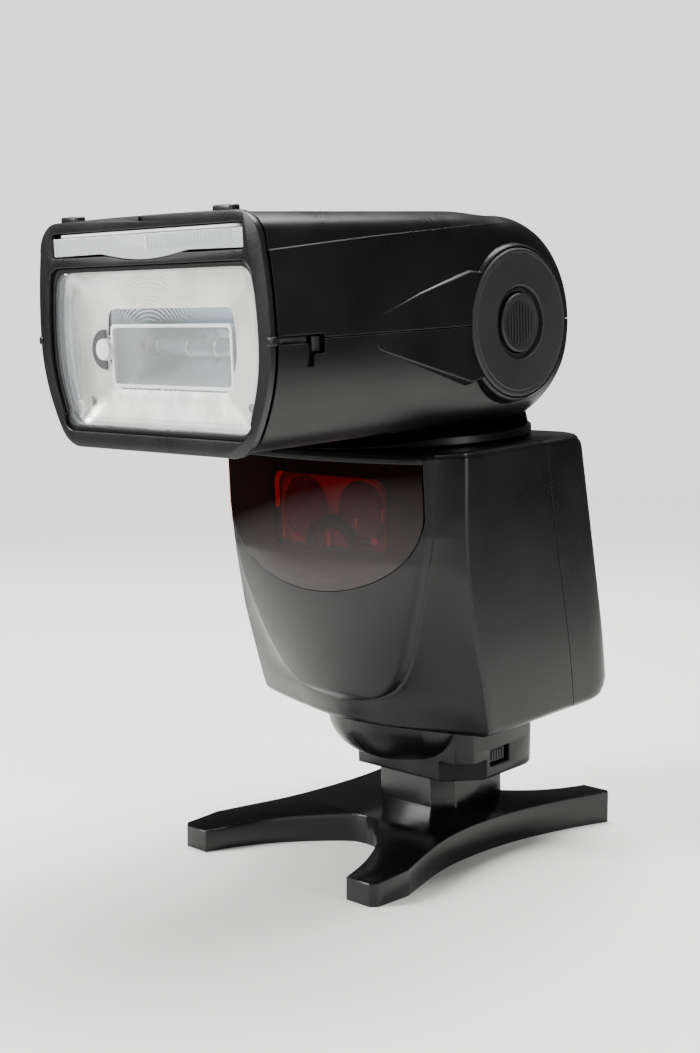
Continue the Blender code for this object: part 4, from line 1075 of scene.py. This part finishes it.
def build_seam_liner():
    """Dark tongue that shows in the joint between the two shells."""
    rows = [level(drawn_in(whole_section(body_half_section(z, True)), 0.95), z)
            for z in np.linspace(-84.4, -26.2, 20)]
    liner = make_piece("body_seam_liner", grid_mesh(rows, wrap=True), "body", "inner")
    thicken(liner, 0.35)
    combine(liner, box_mesh((-60, -90, -60), (60, SEAM - 1.5, 60)), PANEL)
    combine(liner, box_mesh((-60, SEAM + 1.5, -60), (60, 60, 60)), PANEL)
    combine(liner, box_mesh((-60, -12.5, -95), (-29, 19.5, -49.5)))


def build_window():
    """Deep red window, flush with the shield, and what shows behind it; a dark backing sheet stands in for
    the shade inside the body.
    """
    sheet = [[(x, shield_depth(x, z) - 0.02, z) for x in np.linspace(-30.0, 30.0, 80)]
             for z in np.linspace(-55.6, -26.9, 60)]
    window = make_piece("red_window_face", grid_mesh(sheet), "body", "red", node="red_window")
    thicken(window, 1.2)
    combine(window, prism_mesh(window_outline(-0.05), *THROUGH_SHIELD), operation="INTERSECT")
    smooth(window, 40)
    # Dark backing sheet behind the window: painted shade inside the body.
    back = [[(x * 0.96, shield_depth(x, z) + 4.5, z) for x in np.linspace(-30.0, 30.0, 40)]
            for z in np.linspace(-58.0, -26.5, 30)]
    panel = make_piece("window_shade_backing", grid_mesh(back), "body", "shade_black")
    thicken(panel, 0.8)
    cut(panel, rounded(17.2, 8.1, 3.0, 6, (0.0, ASSIST_HEIGHT)), *THROUGH_SHIELD)
    face = prism_mesh(rounded(16.9, 7.9, 2.8, 6, (0.0, ASSIST_HEIGHT)), "y", -22.0, -20.4)
    plate = make_piece("assist_plate", face, "body", "tinted", "assist_reflector")
    for x in (-ASSIST_SPREAD, ASSIST_SPREAD):
        cut(plate, circle(7.0, 48, (x, ASSIST_HEIGHT)), "y", -30.0, -10.0)
    round_edges(plate, 0.3, 2)
    chips = []
    for x, z, wide, high in ((-15.0, -44.6, 0.5, 1.6), (-11.5, -33.2, 0.9, 0.5), (-8.0, -33.6, 0.6, 1.3),
                             (-1.0, -45.2, 0.4, 1.7), (1.6, -42.6, 0.35, 0.9), (5.0, -46.4, 0.5, 0.4),
                             (7.4, -41.0, 0.4, 1.1), (12.6, -44.4, 1.0, 0.8), (15.2, -38.6, 0.45, 1.5),
                             (-5.2, -46.6, 0.5, 0.3)):
        chips.append(prism_mesh(rounded(wide, high, 0.25, 4, (x, z)), "y", -22.9, -22.1))
    make_piece("assist_facets", joined(chips), "body", "mirror")
    visor = circle(7.6, 40, (0.0, -47.5), 10.0, 160.0) + circle(6.2, 40, (0.0, -48.6), 165.0, -150.0)
    make_piece("assist_visor", prism_mesh(visor, "y", -23.6, -22.0), "body", "shade_black")
    rows = [[(x, shield_depth(x, -50.0) + 1.6, z) for x, z in window_outline(grow)[1:-1]]
            for grow in (-1.6, -2.4)]
    edge = make_piece("window_inner_edge", grid_mesh(rows), "body", "shade_black")
    thicken(edge, 0.5)
    bowl = [(1.5, -12.0), (4.2, -12.8), (6.0, -15.4), (6.8, -19.0), (7.0, -21.6), (7.3, -21.6),
            (7.2, -18.6), (6.4, -14.9), (4.4, -12.2), (1.5, -11.4)]
    for side, word in SIDES:
        x = ASSIST_SPREAD * side
        make_piece("assist_bowl_" + word, lathe_mesh(bowl, "y", (x, ASSIST_HEIGHT), 64), "body", "tinted",
                   sharp=40)


def cut_panel(rear):
    """Openings in the rear wall for the display and the controls."""
    tools = [rounded(19.7, 10.9, 2.2, 6, DISPLAY)]
    for place_at in SLIDERS.values():
        tools.append(rounded(2.6, 7.4, 0.9, 5, place_at))
    for x, z in BUTTONS.values():
        tools.append(rounded(4.9, 2.6, 2.5, 8, (x, z)))
    tools.append(circle(1.85, 24, LAMP))
    tools.append(circle(8.9, 64, DIAL))
    tools.append(circle(5.5, 48, POWER))
    for outline in tools:
        cut(rear, outline, *THROUGH_REAR, PANEL)


def side_skin(y, z):
    """Half-width of the body's side wall at a place."""
    section = body_half_section(z, True)
    wall = section[section[:, 0] > 26.0]
    return float(np.interp(y, wall[:, 1], wall[:, 0]))


def build_door():
    """Battery door that follows the body's left side, with a finger grip and an arrow."""
    depths = np.linspace(-10.95, 17.85, 30)
    rows = []
    for share, z in SKIRT + [(1.0, z) for z in np.linspace(-84.2, -51.05, 30)]:
        outer = [((side_skin(y, z) + 0.02) * share, y, z) for y in depths]
        rows.append(outer + [(max(x - 1.7, 32.7), y, z) for x, y, z in outer[::-1]])
    door = make_piece("battery_door_face", flipped(grid_mesh(rows, wrap=True, caps=True)), "door", "shell",
                      node="battery_door")
    round_edges(door, 0.4, 3, 50)
    ridges = []
    for i in range(7):
        z = -54.6 - 1.25 * i
        skin = side_skin(1.9, z)
        ridges.append(prism_mesh(rounded(6.6 - 0.25 * i, 0.34, 0.3, 5, (1.9, z)), "x", skin - 0.6,
                                 skin + 0.3))
    make_piece("battery_door_grip", flipped(joined(ridges)), "door", "shell")
    skin = side_skin(1.9, -68.0)
    arrow = prism_mesh([(-0.3, -66.2), (4.1, -66.2), (1.9, -69.6)], "x", skin - 0.5, skin + 0.12)
    make_piece("battery_door_arrow", flipped(arrow), "door", "print")
    pin = lathe_mesh([(0.0, -10.5), (0.45, -10.5), (0.45, 17.4), (0.0, 17.4)], "y", HINGE_PLACE, 24)
    make_piece("door_hinge_pin", pin, "door_carrier", "steel", "door_bracket")
    sensor = domed_mesh(rounded(5.9, 4.4, 1.8, 8, SENSOR_PLACE), "x", 33.3, 35.1, 0.5, 0.15)
    make_piece("sensor_window_face", flipped(sensor), "body", "red", node="sensor_window")


# ------------------------------------------------------------------ rear panel

def panel_piece(name, mesh, body, look, node=None):
    return make_piece(name, mesh, body, look, node, matrix=PANEL)


def wall_height(x):
    return REAR_BOW * (1.0 - (x / 26.0) ** 2)


def printed(name, outlines):
    """Flat generic marks on the rear wall; all of them in one piece."""
    meshes = []
    for outline in outlines:
        x = sum(u for u, v in outline) / len(outline)
        meshes.append(prism_mesh(outline, "y", -0.3, wall_height(x) + 0.04))
    panel_piece(name, joined(meshes), "body", "print")


def digit(figure, x, z, height):
    """Seven-segment figure, upright for someone who faces the rear wall."""
    width, bar = height * 0.52, height * 0.075
    half, low = width / 2, height / 2
    places = {"a": (0, low, half - bar, bar), "g": (0, 0, half - bar, bar), "d": (0, -low, half - bar, bar),
              "b": (half, low / 2, bar, low / 2 - bar), "c": (half, -low / 2, bar, low / 2 - bar),
              "f": (-half, low / 2, bar, low / 2 - bar), "e": (-half, -low / 2, bar, low / 2 - bar)}
    outlines = []
    for segment in DIGITS[figure]:
        u, v, half_u, half_v = places[segment]
        outlines.append(rounded(half_u, half_v, min(half_u, half_v) * 0.9, 3, (x - u, z + v)))
    return outlines


def build_display():
    """Display: pane, dark border, grey-green glass and generic figures."""
    pane = domed_mesh(rounded(19.4, 10.6, 2.0, 8, DISPLAY), "y", -1.5, -0.15, 0.4, 0.1)
    panel_piece("display_pane", pane, "body", "pane", "lcd_window")
    face = prism_mesh(rounded(19.4, 10.6, 1.8, 8, DISPLAY), "y", -2.6, -1.65)
    border = panel_piece("display_border", face, "body", "inner")
    cut(border, rounded(16.6, 8.2, 1.0, 6, DISPLAY), *THROUGH_REAR, PANEL)
    glass = prism_mesh(rounded(18.0, 9.5, 0.6, 4, (0.0, 15.5)), "y", -6.4, -3.02)
    panel_piece("display_glass", glass, "body", "screen", "lcd_module")
    figures = []
    for figure, x in (("2", 11.6), ("8", 8.0), ("3", -7.4), ("5", -11.0)):
        figures += digit(figure, x, 19.2, 4.6)
    figures.append(rounded(13.6, 0.14, 0.12, 3, (0.0, 12.4)))
    for i in range(14):
        figures.append(rounded(0.13, 0.55 if i % 2 else 0.9, 0.1, 3, (13.0 - 2.0 * i, 13.2)))
    for i in range(7):
        figures.append(rounded(0.75, 0.65, 0.15, 3, (13.0 - 2.0 * i, 10.6)))
    figures.append(rounded(2.0, 1.2, 0.3, 4, (0.0, 19.6)))
    ink = joined([prism_mesh(outline, "y", -3.1, -2.96) for outline in figures])
    panel_piece("display_figures", ink, "body", "ink")


def build_controls():
    """Buttons, dial, sliders, power switch and ready lamp, with small plain marks beside them."""
    for name, place_at in BUTTONS.items():
        cap = domed_mesh(rounded(4.6, 2.3, 2.2, 10, place_at), "y", -3.0, 0.6, 0.6, 0.2)
        panel_piece(name + "_cap", cap, name, "button", name)
    lamp = domed_mesh(circle(1.6, 32, LAMP), "y", -2.6, -0.1, 0.4, 0.35)
    panel_piece("ready_lamp_dome", lamp, "body", "red", "ready_lamp")
    profile = [(4.5, -1.4), (4.5, 1.2), (4.7, 1.55), (5.5, 1.7), (6.4, 1.35), (7.4, 1.45), (8.1, 1.7),
               (8.45, 1.5), (8.6, 1.1), (8.6, -1.4)]
    dial = lathe_mesh(profile, "y", DIAL, 240, (40, 0.32, 8.05))
    panel_piece("dial_ring", dial, "selector_dial", "button", "selector_dial")
    dots = [circle(0.42, 16, (6.6 * cos(a), 6.6 * sin(a) - DIAL_DROP))
            for a in (0.0, pi / 2, pi, 3 * pi / 2)]
    dots = joined([prism_mesh(outline, "y", 1.0, 1.48) for outline in dots])
    panel_piece("dial_dots", dots, "selector_dial", "print")
    ok = domed_mesh(circle(4.1, 64, DIAL), "y", -3.0, 1.3, 0.6, 0.15)
    panel_piece("ok_button_cap", ok, "ok_button", "button", "ok_button")
    knob = domed_mesh(circle(5.2, 64, POWER), "y", -3.0, 0.9, 0.5, 0.1)
    ridge = domed_mesh(rounded(1.5, 3.8, 1.4, 8, (POWER[0], POWER[1] + 2.8)), "y", 0.2, 2.2, 0.5, 0.15)
    panel_piece("power_switch_knob", joined([knob, ridge]), "power_switch", "button", "power_switch")
    line = prism_mesh(rounded(0.28, 1.1, 0.25, 4, (POWER[0], POWER[1] + 4.5)), "y", 1.8, 2.38)
    panel_piece("power_switch_line", line, "power_switch", "print")
    for name, (x, z) in SLIDERS.items():
        knob = domed_mesh(rounded(2.2, 3.4, 0.8, 6, (x, z)), "y", -3.2, 0.9, 0.4, 0.0)
        skirt = prism_mesh(rounded(3.4, 7.4, 0.8, 5, (x, z)), "y", -3.9, -2.9)
        ribs = [prism_mesh(rounded(1.9, 0.27, 0.25, 4, (x, z + 1.15 * i)), "y", 0.5, 1.35)
                for i in range(-2, 3)]
        panel_piece(name + "_knob", joined([knob, skirt] + ribs), name, "button", name)
    marks = [rounded(1.3, 0.16, 0.14, 3, (x, z + 3.3)) for x, z in BUTTONS.values()]
    marks.append([(-1.0 + LAMP[0], 3.3), (0.9 + LAMP[0], 3.3), (-0.4 + LAMP[0], 1.9)])
    for x, z in SLIDERS.values():
        inner_x = x - 3.9 * (1 if x > 0 else -1)
        marks += [rounded(0.45, 0.16, 0.14, 3, (inner_x, z + rise)) for rise in (-3.5, 0.0, 3.5)]
    for angle in (90.0, 190.0):
        a = radians(angle)
        marks.append(circle(0.35, 16, (POWER[0] + 6.9 * cos(a), POWER[1] + 6.9 * sin(a))))
    printed("panel_marks", marks)


# ------------------------------------------------------------------ foot and stand

def build_foot():
    """Foot block: a belly-shaped nose before a square block with lever room and latch."""
    front = curve_through([(0.0, -19.0), (4.2, -18.6), (7.5, -17.4), (10.4, -15.5), (12.6, -13.6),
                           (14.8, -11.6)], 4)
    half = front + [(15.9, -9.0), (17.3, -5.2), (17.0, 3.5), (0.0, 3.5)]
    rows = []
    for share, z in ((1.0, FOOT_TOP), (1.0, -88.0), (0.985, -89.4), (0.95, -91.0), (0.89, -92.8),
                     (0.81, -94.4), (0.72, -95.7), (0.65, -96.4), (0.58, -96.7)):
        rows.append([(x * share, 3.5 + (y - 3.5) * share, z) for x, y in mirrored(half)])
    make_piece("foot_nose", grid_mesh(rows, wrap=True, caps=True), "body", "shell", sharp=35)
    half = [(0.0, -4.6), (17.5, -4.6), (20.6, -1.7), (20.6, 17.9), (20.1, 19.4), (18.2, 20.4), (0.0, 20.6)]
    rows = []
    for z, grow in ((FOOT_TOP, 0.0), (-87.3, 0.0), (-94.0, -0.2), (-100.6, -0.4), (-101.3, -0.75),
                    (BLOCK_BOTTOM, -1.3)):
        share = 1.0 + grow / 20.6
        rows.append([(x * share, 0.8 + (y - 0.8) * share, z) for x, y in mirrored(half)])
    block = make_piece("foot_block_body", grid_mesh(rows, wrap=True, caps=True), "body", "shell",
                       node="foot_block")
    combine(block, box_mesh((-13.0, 6.6, -98.6), (13.0, 30.0, -94.6)))
    for side in (-1, 1):
        low, high = sorted((18.6 * side, 30.0 * side))
        combine(block, box_mesh((low, 4.0, -98.6), (high, 10.8, -94.8)))
        corner = [(11.0 * side, -6.0), (24.0 * side, -6.0), (24.0 * side, 4.2), (19.5 * side, 2.6)]
        cut(block, corner, "z", -110.0, -96.9)
    round_edges(block, 0.4, 3, 35)
    latch = [prism_mesh(rounded(2.6, 1.45, 0.4, 4, (7.4, -96.7)), "x", 18.0, 19.3)]
    for i in range(5):
        latch.append(prism_mesh(rounded(0.22, 1.1, 0.2, 3, (5.6 + 0.9 * i, -96.7)), "x", 18.0, 19.65))
    make_piece("foot_latch", joined(latch), "body", "cap")
    arm = curve_through([(3.2, 12.0), (3.1, 17.0), (3.5, 20.5), (3.3, 22.8), (2.2, 23.9), (0.0, 24.0)], 4)
    lever = make_piece("lock_lever_arm", prism_mesh(mirrored([(0.0, 12.0)] + arm), "z", -97.9, -95.3),
                       "lock_lever", "button", node="lock_lever")
    hub = [(0.0, -98.15), (4.2, -98.15), (4.6, -97.8), (4.6, -95.4), (4.2, -95.05), (0.0, -95.05)]
    combine(lever, lathe_mesh(hub, "z", (0.0, 12.0), 48), operation="UNION")
    round_edges(lever, 0.35, 3, 50)
    ribs = [prism_mesh(rounded(2.3, 0.26, 0.24, 4, (0.0, 19.9 + 0.95 * i)), "z", -95.6, -95.05)
            for i in range(4)]
    make_piece("lock_lever_ribs", joined(ribs), "lock_lever", "button")
    build_metal_foot()


def build_metal_foot():
    plan = [(-8.3, 1.0), (8.3, 1.0), (9.3, 2.0), (9.3, 17.4), (8.7, 18.0), (-8.7, 18.0), (-9.3, 17.4),
            (-9.3, 2.0)]
    foot = make_piece("metal_foot", prism_mesh(plan, "z", -106.6, -104.6), "body", "steel",
                      node="mounting_foot")
    combine(foot, box_mesh((-6.2, 1.0, -105.0), (6.2, 18.0, -101.4)), operation="UNION")
    cut(foot, circle(2.6, 40, CONTACT_PLACE), "z", -110.0, -105.3)
    cut(foot, circle(1.2, 32, PIN_PLACE), "z", -110.0, -100.0)
    round_edges(foot, 0.25, 3, 35)
    well = [(1.65, -106.35), (2.55, -106.35), (2.55, -105.2), (1.65, -105.2)]
    make_piece("contact_insulator", lathe_mesh(well, "z", CONTACT_PLACE, 48), "body", "inner")


def build_stand():
    """Waisted table stand: sloping top, accessory shoe, bush well below."""
    front = curve_through(STAND_FRONT_NOTCH)
    waist = curve_through(STAND_WAIST)
    rear = curve_through(STAND_REAR_NOTCH)
    front_corner = [(21.8, -24.2), (28.2, -24.2), (29.5, -22.9)]
    rear_corner = [(29.5, 55.5), (28.3, 56.7), (21.6, 56.7)]
    outline = mirrored(front + front_corner + waist + rear_corner + rear)
    base = make_piece("stand_body", prism_mesh(outline, "z", 0.0, 12.0), "stand", "stand", matrix=WORLD,
                      node="stand_base")
    above = [(-40.0, 4.0)] + curve_through(STAND_TOP, 4) + [(70.0, 7.3), (70.0, 40.0), (-40.0, 40.0)]
    cut(base, above, "x", -60, 60, WORLD)
    shoe = [(-7.6, -2.2), (7.6, -2.2), (11.4, 2.2), (11.4, 18.2), (-11.4, 18.2), (-11.4, 2.2)]
    combine(base, prism_mesh(shoe, "z", -110.5, SHOE_TOP), operation="UNION")
    slot = [(-9.6, SLOT_LOW), (9.6, SLOT_LOW), (9.6, SLOT_HIGH), (6.5, SLOT_HIGH), (6.5, -100.0),
            (-6.5, -100.0), (-6.5, SLOT_HIGH), (-9.6, SLOT_HIGH)]
    cut(base, slot, "y", 0.7, 40.0)
    cut(base, circle(2.2, 40, PIN_PLACE), "z", -125.0, -100.0)
    cut(base, circle(6.3, 64, BUSH_PLACE), "z", -5.0, 5.6, WORLD)
    round_edges(base, 0.5, 3, 32)


def keep_cad(names, look):
    """CAD solids that are shown as they are."""
    for name in names:
        node = frame["nodes"][name]
        node.data.materials.clear()
        node.data.materials.append(LOOKS[look][1])


def build_stage():
    """Pale floor that fades into the backdrop away from the stand."""
    size = 6.0
    floor_mesh = bpy.data.meshes.new("floor")
    corners = [(-size, -size, 0), (size, -size, 0), (size, size, 0), (-size, size, 0)]
    floor_mesh.from_pydata(corners, [], [(0, 1, 2, 3)])
    floor = bpy.data.objects.new("floor", floor_mesh)
    bpy.context.scene.collection.objects.link(floor)
    n = Nodes("pale_floor")
    paint = n.mix_colour(n.noise(6.0), rgba((0.80, 0.79, 0.76)), rgba((0.76, 0.75, 0.73)))
    n.feed(n.shader, {"Base Color": paint, "Roughness": 0.75})
    distance = n.vector("LENGTH", n.place)["Value"]
    camera_ray = n.add("LightPath").outputs["Is Camera Ray"]
    strength = n.remap(camera_ray, 0.0, 1.0, ROOM_STRENGTH, BACKDROP_STRENGTH)
    glow = n.add("Emission", {"Color": BACKDROP, "Strength": strength}).outputs["Emission"]
    indirect = n.math("SUBTRACT", 1.0, camera_ray)
    near = n.math("MULTIPLY", indirect, n.remap(distance, 0.2, 0.5, 0.0, 1.0))
    far = n.math("MAXIMUM", near, n.remap(distance, 0.25, 0.9, 0.0, 1.0))
    n.finish(n.add("MixShader", {"Fac": far, 1: n.shader.outputs["BSDF"], 2: glow}).outputs["Shader"])
    floor_mesh.materials.append(n.material)


def build_world():
    """Pale backdrop for the camera, a dimmer room for reflections."""
    world = bpy.data.worlds.new("studio")
    world.use_nodes = True
    nodes, link = world.node_tree.nodes, world.node_tree.links.new
    room = nodes["Background"]
    seen = nodes.new("ShaderNodeBackground")
    pick = nodes.new("ShaderNodeMixShader")
    for node, strength in ((room, ROOM_STRENGTH), (seen, BACKDROP_STRENGTH)):
        node.inputs["Color"].default_value = BACKDROP
        node.inputs["Strength"].default_value = strength
    link(nodes.new("ShaderNodeLightPath").outputs["Is Camera Ray"], pick.inputs["Fac"])
    link(room.outputs["Background"], pick.inputs[1])
    link(seen.outputs["Background"], pick.inputs[2])
    link(pick.outputs["Shader"], nodes["World Output"].inputs["Surface"])
    bpy.context.scene.world = world


def add_light(name, place_at, size, power, aim=(0.0, 0.0, 0.08)):
    data = bpy.data.lights.new(name, "AREA")
    data.shape = "RECTANGLE"
    data.size, data.size_y = size
    data.energy = power
    light = bpy.data.objects.new(name, data)
    light.location = place_at
    light.rotation_euler = (Vector(aim) - Vector(place_at)).to_track_quat("-Z", "Y").to_euler()
    bpy.context.scene.collection.objects.link(light)


def build_lights():
    add_light("key_softbox", (-0.55, -0.80, 0.60), (0.35, 0.5), 26.0)
    add_light("strip_softbox", (0.10, -0.85, 0.22), (0.05, 0.5), 2.2)
    add_light("side_softbox", (0.85, 0.10, 0.30), (0.10, 0.6), 4.0)
    add_light("top_softbox", (-0.1, 0.25, 0.95), (0.7, 0.5), 26.0)


def build_camera():
    """Long lens at the height of the head, from the front right."""
    azimuth, elevation, roll = radians(44.35), radians(-6.96), radians(-0.21)
    forward = Vector((-sin(azimuth) * cos(elevation), cos(azimuth) * cos(elevation), sin(elevation)))
    right = Vector((cos(azimuth), sin(azimuth), 0.0))
    up = right.cross(forward)
    side = right * cos(roll) + up * sin(roll)
    top = up * cos(roll) - right * sin(roll)
    data = bpy.data.cameras.new("camera")
    data.sensor_fit = "VERTICAL"
    data.sensor_height = 36.0
    data.lens = 55.6
    data.clip_start = 0.01
    camera = bpy.data.objects.new("camera", data)
    rotation = Matrix((side, top, -forward)).transposed().to_4x4()
    camera.matrix_world = Matrix.Translation((0.2454, -0.2515, 0.1153)) @ rotation
    bpy.context.scene.collection.objects.link(camera)
    bpy.context.scene.camera = camera


def main():
    build_head()
    build_caps()
    build_front()
    build_neck()
    build_body()
    build_door()
    build_display()
    build_controls()
    build_foot()
    build_stand()
    keep_cad(["card_tray", "zoom_carriage", "battery_tray", "head_cable"], "inner")
    keep_cad(["locking_pin", "tilt_axle", "turret_retainer", "battery_contacts",
              "zoom_motor", "zoom_rod_left", "zoom_rod_right"], "steel")
    keep_cad(["zoom_lead_screw", "centre_contact", "tripod_bush"], "brass")
    keep_cad(["assist_lamp"], "glass")
    keep_cad(["assist_lens"], "clear")
    keep_cad(["main_board", "trigger_board"], "board")
    keep_cad(["main_capacitor", "battery_cell_1", "battery_cell_2", "battery_cell_3", "battery_cell_4"],
             "cell")
    build_stage()
    build_world()
    build_lights()
    build_camera()


main()
